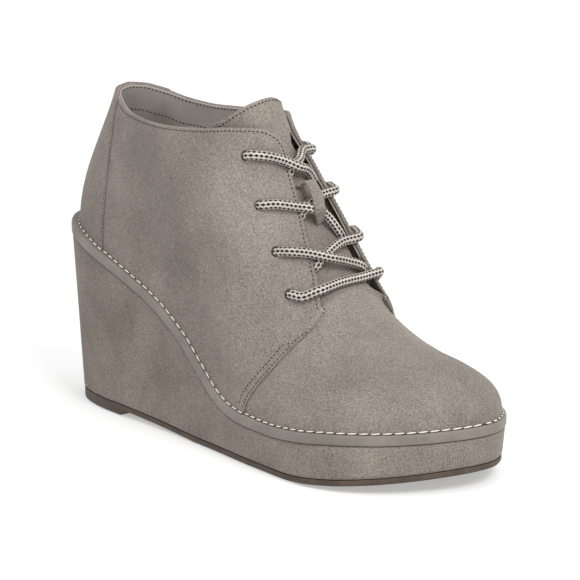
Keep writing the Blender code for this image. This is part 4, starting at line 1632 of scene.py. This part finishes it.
def lining_material():
    mat, nodes, links, shader = new_material("lining_leather")
    if nodes is None:
        return mat
    wire = Wiring(nodes, links)
    clouds = wire.noise(14.0, 3.0)
    pores = wire.noise(0.5, 2.0, 0.6, offset=5.0)
    colour = wire.drift(clouds, (0.305, 0.275, 0.247), (0.372, 0.338, 0.306))
    links.new(colour, shader.inputs["Base Color"])
    shader.inputs["Roughness"].default_value = 0.7
    shader.inputs["Specular IOR Level"].default_value = 0.3
    links.new(wire.bump(pores, 0.06, 0.4), shader.inputs["Normal"])
    return mat


def band_material():
    mat, nodes, links, shader = new_material("band_leather")
    if nodes is None:
        return mat
    wire = Wiring(nodes, links)
    clouds = wire.noise(16.0, 4.0)
    streaks = wire.noise(2.2, 3.0, 0.6, (1.0, 1.0, 0.4), 2.0)
    pores = wire.noise(0.4, 2.0, 0.6, offset=5.0)
    colour = wire.drift(clouds, (0.168, 0.148, 0.128), (0.215, 0.191, 0.167))
    colour = wire.scale_colour(colour, wire.remap(streaks, 0.3, 0.7, 0.93, 1.07))
    links.new(colour, shader.inputs["Base Color"])
    links.new(wire.remap(streaks, 0.3, 0.7, 0.5, 0.68), shader.inputs["Roughness"])
    shader.inputs["Specular IOR Level"].default_value = 0.35
    links.new(wire.bump(pores, 0.05, 0.4), shader.inputs["Normal"])
    return mat


def rubber_material():
    mat, nodes, links, shader = new_material("sole_rubber")
    if nodes is None:
        return mat
    wire = Wiring(nodes, links)
    clouds = wire.noise(9.0, 4.0)
    grain = wire.noise(0.4, 2.0, 0.6, offset=5.0)
    colour = wire.drift(clouds, (0.045, 0.03, 0.022), (0.085, 0.06, 0.045))
    links.new(colour, shader.inputs["Base Color"])
    links.new(wire.remap(clouds, 0.3, 0.7, 0.55, 0.72), shader.inputs["Roughness"])
    shader.inputs["Specular IOR Level"].default_value = 0.35
    links.new(wire.bump(grain, 0.05, 0.5), shader.inputs["Normal"])
    return mat


def thread_material(name, colour):
    mat, nodes, links, shader = new_material(name)
    if nodes is None:
        return mat
    wire = Wiring(nodes, links)
    ply = wire.noise(0.3, 2.0, 0.6)
    darker = tuple(0.7 * c for c in colour)
    links.new(wire.drift(ply, darker, colour), shader.inputs["Base Color"])
    shader.inputs["Roughness"].default_value = 0.8
    shader.inputs["Specular IOR Level"].default_value = 0.2
    links.new(wire.bump(ply, 0.08, 0.5), shader.inputs["Normal"])
    return mat


def cord_material(settings):
    """Woven cord: cream with rows of dark checks, laid out on the cord's own UV."""
    mat, nodes, links, shader = new_material("lace_weave")
    if nodes is None:
        return mat
    wire = Wiring(nodes, links)
    uv = nodes.new("ShaderNodeUVMap")
    uv.uv_map = "UVMap"
    parts = nodes.new("ShaderNodeSeparateXYZ")
    links.new(uv.outputs["UV"], parts.inputs[0])
    along = wire.math("DIVIDE", parts.outputs[0], settings.check_pitch / MM)
    around = wire.math("MULTIPLY", parts.outputs[1], float(settings.check_rows))
    row = wire.math("FLOOR", around)
    shift = wire.math("MULTIPLY", wire.math("MODULO", row, 2.0), 0.5)
    here = wire.off_middle(wire.math("ADD", along, shift))
    there = wire.off_middle(around)
    apart = wire.math("ADD", wire.math("MULTIPLY", here, 0.85), wire.math("MULTIPLY", there, 1.1))
    check = wire.remap(apart, 0.41, 0.46, 1.0, 0.0)
    rising = wire.ripple(wire.math("ADD", along, around))
    falling = wire.ripple(wire.math("SUBTRACT", along, around))
    weave = wire.math("MULTIPLY", rising, falling)
    clouds = wire.noise(4.0, 3.0)
    cream = wire.drift(clouds, (0.42, 0.385, 0.34), (0.54, 0.50, 0.45))
    colour = wire.mix(check, cream, (0.018, 0.014, 0.011))
    links.new(colour, shader.inputs["Base Color"])
    shader.inputs["Roughness"].default_value = 0.85
    shader.inputs["Specular IOR Level"].default_value = 0.2
    links.new(wire.bump(weave, 0.12, 0.6), shader.inputs["Normal"])
    return mat


def floor_material():
    mat, nodes, links, shader = new_material("studio_floor")
    if nodes is None:
        return mat
    shader.inputs["Base Color"].default_value = (0.56, 0.56, 0.56, 1.0)
    shader.inputs["Emission Color"].default_value = (1.0, 1.0, 1.0, 1.0)
    shader.inputs["Emission Strength"].default_value = 0.4
    shader.inputs["Roughness"].default_value = 0.9
    shader.inputs["Specular IOR Level"].default_value = 0.0
    return mat


def area_light(name, spot, target, size, power):
    data = bpy.data.lights.new(name, "AREA")
    data.shape = "DISK"
    data.size = size
    data.energy = power
    light = bpy.data.objects.new(name, data)
    light.location = spot
    light.rotation_mode = "QUATERNION"
    light.rotation_quaternion = (Vector(target) - Vector(spot)).to_track_quat("-Z", "Y")
    bpy.context.scene.collection.objects.link(light)


def build_stage(settings):
    """Pale floor, soft lights and the camera at the photograph's angle."""
    scene = bpy.context.scene
    bm = bmesh.new()
    bmesh.ops.create_circle(bm, cap_ends=True, segments=64, radius=FLOOR_RADIUS)
    bmesh.ops.translate(bm, vec=(0.0, 0.0, -FLOOR_DROP), verts=bm.verts)
    mesh = bpy.data.meshes.new("studio_floor")
    bm.to_mesh(mesh)
    bm.free()
    mesh.materials.append(floor_material())
    floor = bpy.data.objects.new("studio_floor", mesh)
    scene.collection.objects.link(floor)
    world = bpy.data.worlds.new("studio_air")
    world.use_nodes = True
    air = world.node_tree.nodes["Background"]
    air.inputs["Color"].default_value = (1.0, 1.0, 1.0, 1.0)
    air.inputs["Strength"].default_value = settings.air_strength
    scene.world = world
    for name, spot, size, share in LIGHTS:
        area_light(name, spot, LIGHT_AIM, size, share * settings.key_power)
    scene.view_settings.view_transform = "Standard"
    data = bpy.data.cameras.new("camera")
    data.lens = settings.camera_lens
    data.sensor_width = SENSOR_WIDTH
    data.sensor_fit = "HORIZONTAL"
    data.clip_start = 0.05
    data.clip_end = 30.0
    camera = bpy.data.objects.new("camera", data)
    camera.rotation_mode = "QUATERNION"
    look = Vector(CAMERA_AIM) - Vector(CAMERA_PLACE)
    camera.rotation_quaternion = look.to_track_quat("-Z", "Y")
    camera.location = CAMERA_PLACE
    scene.collection.objects.link(camera)
    scene.camera = camera


class BootUpperSettings(PropertyGroup):
    grid_step: FloatProperty(
        name="Grid step", description="Spacing of the surface grid of the upper",
        default=0.0016, min=0.0008, max=0.005, unit="LENGTH", subtype="DISTANCE",
    )
    eyelet_radius: FloatProperty(
        name="Eyelet radius", description="Radius of the punched lace holes",
        default=0.0022, min=0.001, max=0.004, unit="LENGTH", subtype="DISTANCE",
    )


class BootSeamSettings(PropertyGroup):
    stitch_length: FloatProperty(
        name="Stitch length", description="Length of one seam stitch that shows",
        default=0.0011, min=0.0005, max=0.006, unit="LENGTH", subtype="DISTANCE",
    )
    stitch_pitch: FloatProperty(
        name="Stitch pitch", description="Distance from one seam stitch to the next",
        default=0.00175, min=0.001, max=0.01, unit="LENGTH", subtype="DISTANCE",
    )
    thread_width: FloatProperty(
        name="Thread width", description="Width of the seam thread",
        default=0.00052, min=0.0002, max=0.002, unit="LENGTH", subtype="DISTANCE",
    )
    welt_pitch: FloatProperty(
        name="Welt stitch pitch", description="Distance between the stitches of the welt",
        default=0.0046, min=0.002, max=0.01, unit="LENGTH", subtype="DISTANCE",
    )


class BootSoleSettings(PropertyGroup):
    tread_step: FloatProperty(
        name="Tread step", description="Spacing of the sole's grid along the foot",
        default=0.0007, min=0.0004, max=0.004, unit="LENGTH", subtype="DISTANCE",
    )


class BootLaceSettings(PropertyGroup):
    lace_radius: FloatProperty(
        name="Lace radius", description="Radius of the round lace",
        default=0.0019, min=0.0008, max=0.004, unit="LENGTH", subtype="DISTANCE",
    )
    check_pitch: FloatProperty(
        name="Check pitch", description="Distance between the lace's dark checks",
        default=0.00175, min=0.0005, max=0.01, unit="LENGTH", subtype="DISTANCE",
    )
    check_rows: IntProperty(
        name="Check rows", description="Rows of dark checks round the lace",
        default=7, min=1, max=16,
    )
    keeper_width: FloatProperty(
        name="Keeper width", description="Width of the strap that holds the lace",
        default=0.0048, min=0.002, max=0.01, unit="LENGTH", subtype="DISTANCE",
    )


class BootStageSettings(PropertyGroup):
    key_power: FloatProperty(
        name="Key power", description="Power of the key light",
        default=20.0, min=0.0, max=200.0, unit="POWER",
    )
    air_strength: FloatProperty(
        name="Air strength", description="Strength of the even light from all round",
        default=1.0, min=0.0, max=3.0,
    )
    camera_lens: FloatProperty(
        name="Lens", description="Focal length of the camera",
        default=172.39, min=20.0, max=400.0, subtype="DISTANCE_CAMERA",
    )


class BOOT_OT_quarters(Operator):
    """Build the quarters with their rounded edges and punched holes"""

    bl_idname = "boot.quarters"
    bl_label = "Quarters"

    def execute(self, context):
        build_quarters(context.scene.boot_upper)
        return {"FINISHED"}


class BOOT_OT_vamp_and_tongue(Operator):
    """Build the vamp and the tongue in one wall"""

    bl_idname = "boot.vamp_and_tongue"
    bl_label = "Vamp and tongue"

    def execute(self, context):
        build_vamp_and_tongue(context.scene.boot_upper)
        return {"FINISHED"}


class BOOT_OT_heel_strip(Operator):
    """Build the strip over the heel seam"""

    bl_idname = "boot.heel_strip"
    bl_label = "Heel strip"

    def execute(self, context):
        build_heel_strip(context.scene.boot_upper)
        return {"FINISHED"}


class BOOT_OT_lining(Operator):
    """Build the lining and the footbed"""

    bl_idname = "boot.lining"
    bl_label = "Lining and footbed"

    def execute(self, context):
        build_lining(context.scene.boot_upper)
        build_footbed(context.scene.boot_upper)
        return {"FINISHED"}


class BOOT_OT_sole(Operator):
    """Build the welt band, the covered wedge and the rubber sole"""

    bl_idname = "boot.sole"
    bl_label = "Welt, wedge and sole"

    def execute(self, context):
        build_welt(context.scene.boot_sole)
        build_wedge(context.scene.boot_sole)
        build_outsole(context.scene.boot_sole)
        return {"FINISHED"}


class BOOT_OT_seams(Operator):
    """Sew the rows of stitches"""

    bl_idname = "boot.seams"
    bl_label = "Stitches"

    def execute(self, context):
        build_seams(context.scene.boot_seams)
        return {"FINISHED"}


class BOOT_OT_laces(Operator):
    """Build the lacing and the keeper strap"""

    bl_idname = "boot.laces"
    bl_label = "Laces and keeper"

    def execute(self, context):
        build_laces(context.scene.boot_laces)
        build_keeper(context.scene.boot_laces)
        return {"FINISHED"}


class BOOT_OT_stage(Operator):
    """Set up the floor, the lights and the camera"""

    bl_idname = "boot.stage"
    bl_label = "Stage"

    def execute(self, context):
        build_stage(context.scene.boot_stage)
        return {"FINISHED"}


STEPS = (
    BOOT_OT_quarters,
    BOOT_OT_vamp_and_tongue,
    BOOT_OT_heel_strip,
    BOOT_OT_lining,
    BOOT_OT_sole,
    BOOT_OT_seams,
    BOOT_OT_laces,
    BOOT_OT_stage,
)
GROUPS = {
    "boot_upper": BootUpperSettings,
    "boot_seams": BootSeamSettings,
    "boot_sole": BootSoleSettings,
    "boot_laces": BootLaceSettings,
    "boot_stage": BootStageSettings,
}


class BOOT_PT_panel(Panel):
    """Lists the boot's building steps and their settings"""

    bl_idname = "BOOT_PT_panel"
    bl_label = "Wedge ankle boot"
    bl_space_type = "VIEW_3D"
    bl_region_type = "UI"
    bl_category = "Boot"

    def draw(self, context):
        for step in STEPS:
            self.layout.operator(step.bl_idname)
        for name, group in GROUPS.items():
            box = self.layout.box()
            for prop in group.__annotations__:
                box.prop(getattr(context.scene, name), prop)


def register():
    for group in GROUPS.values():
        bpy.utils.register_class(group)
    for step in STEPS:
        bpy.utils.register_class(step)
    bpy.utils.register_class(BOOT_PT_panel)
    for name, group in GROUPS.items():
        setattr(bpy.types.Scene, name, PointerProperty(type=group))


def unregister():
    for name in GROUPS:
        delattr(bpy.types.Scene, name)
    bpy.utils.unregister_class(BOOT_PT_panel)
    for step in reversed(STEPS):
        bpy.utils.unregister_class(step)
    for group in reversed(list(GROUPS.values())):
        bpy.utils.unregister_class(group)


def main():
    register()
    bpy.ops.boot.quarters()
    bpy.ops.boot.vamp_and_tongue()
    bpy.ops.boot.heel_strip()
    bpy.ops.boot.lining()
    bpy.ops.boot.sole()
    bpy.ops.boot.seams()
    bpy.ops.boot.laces()
    bpy.ops.boot.stage()


if __name__ == "__main__":
    main()
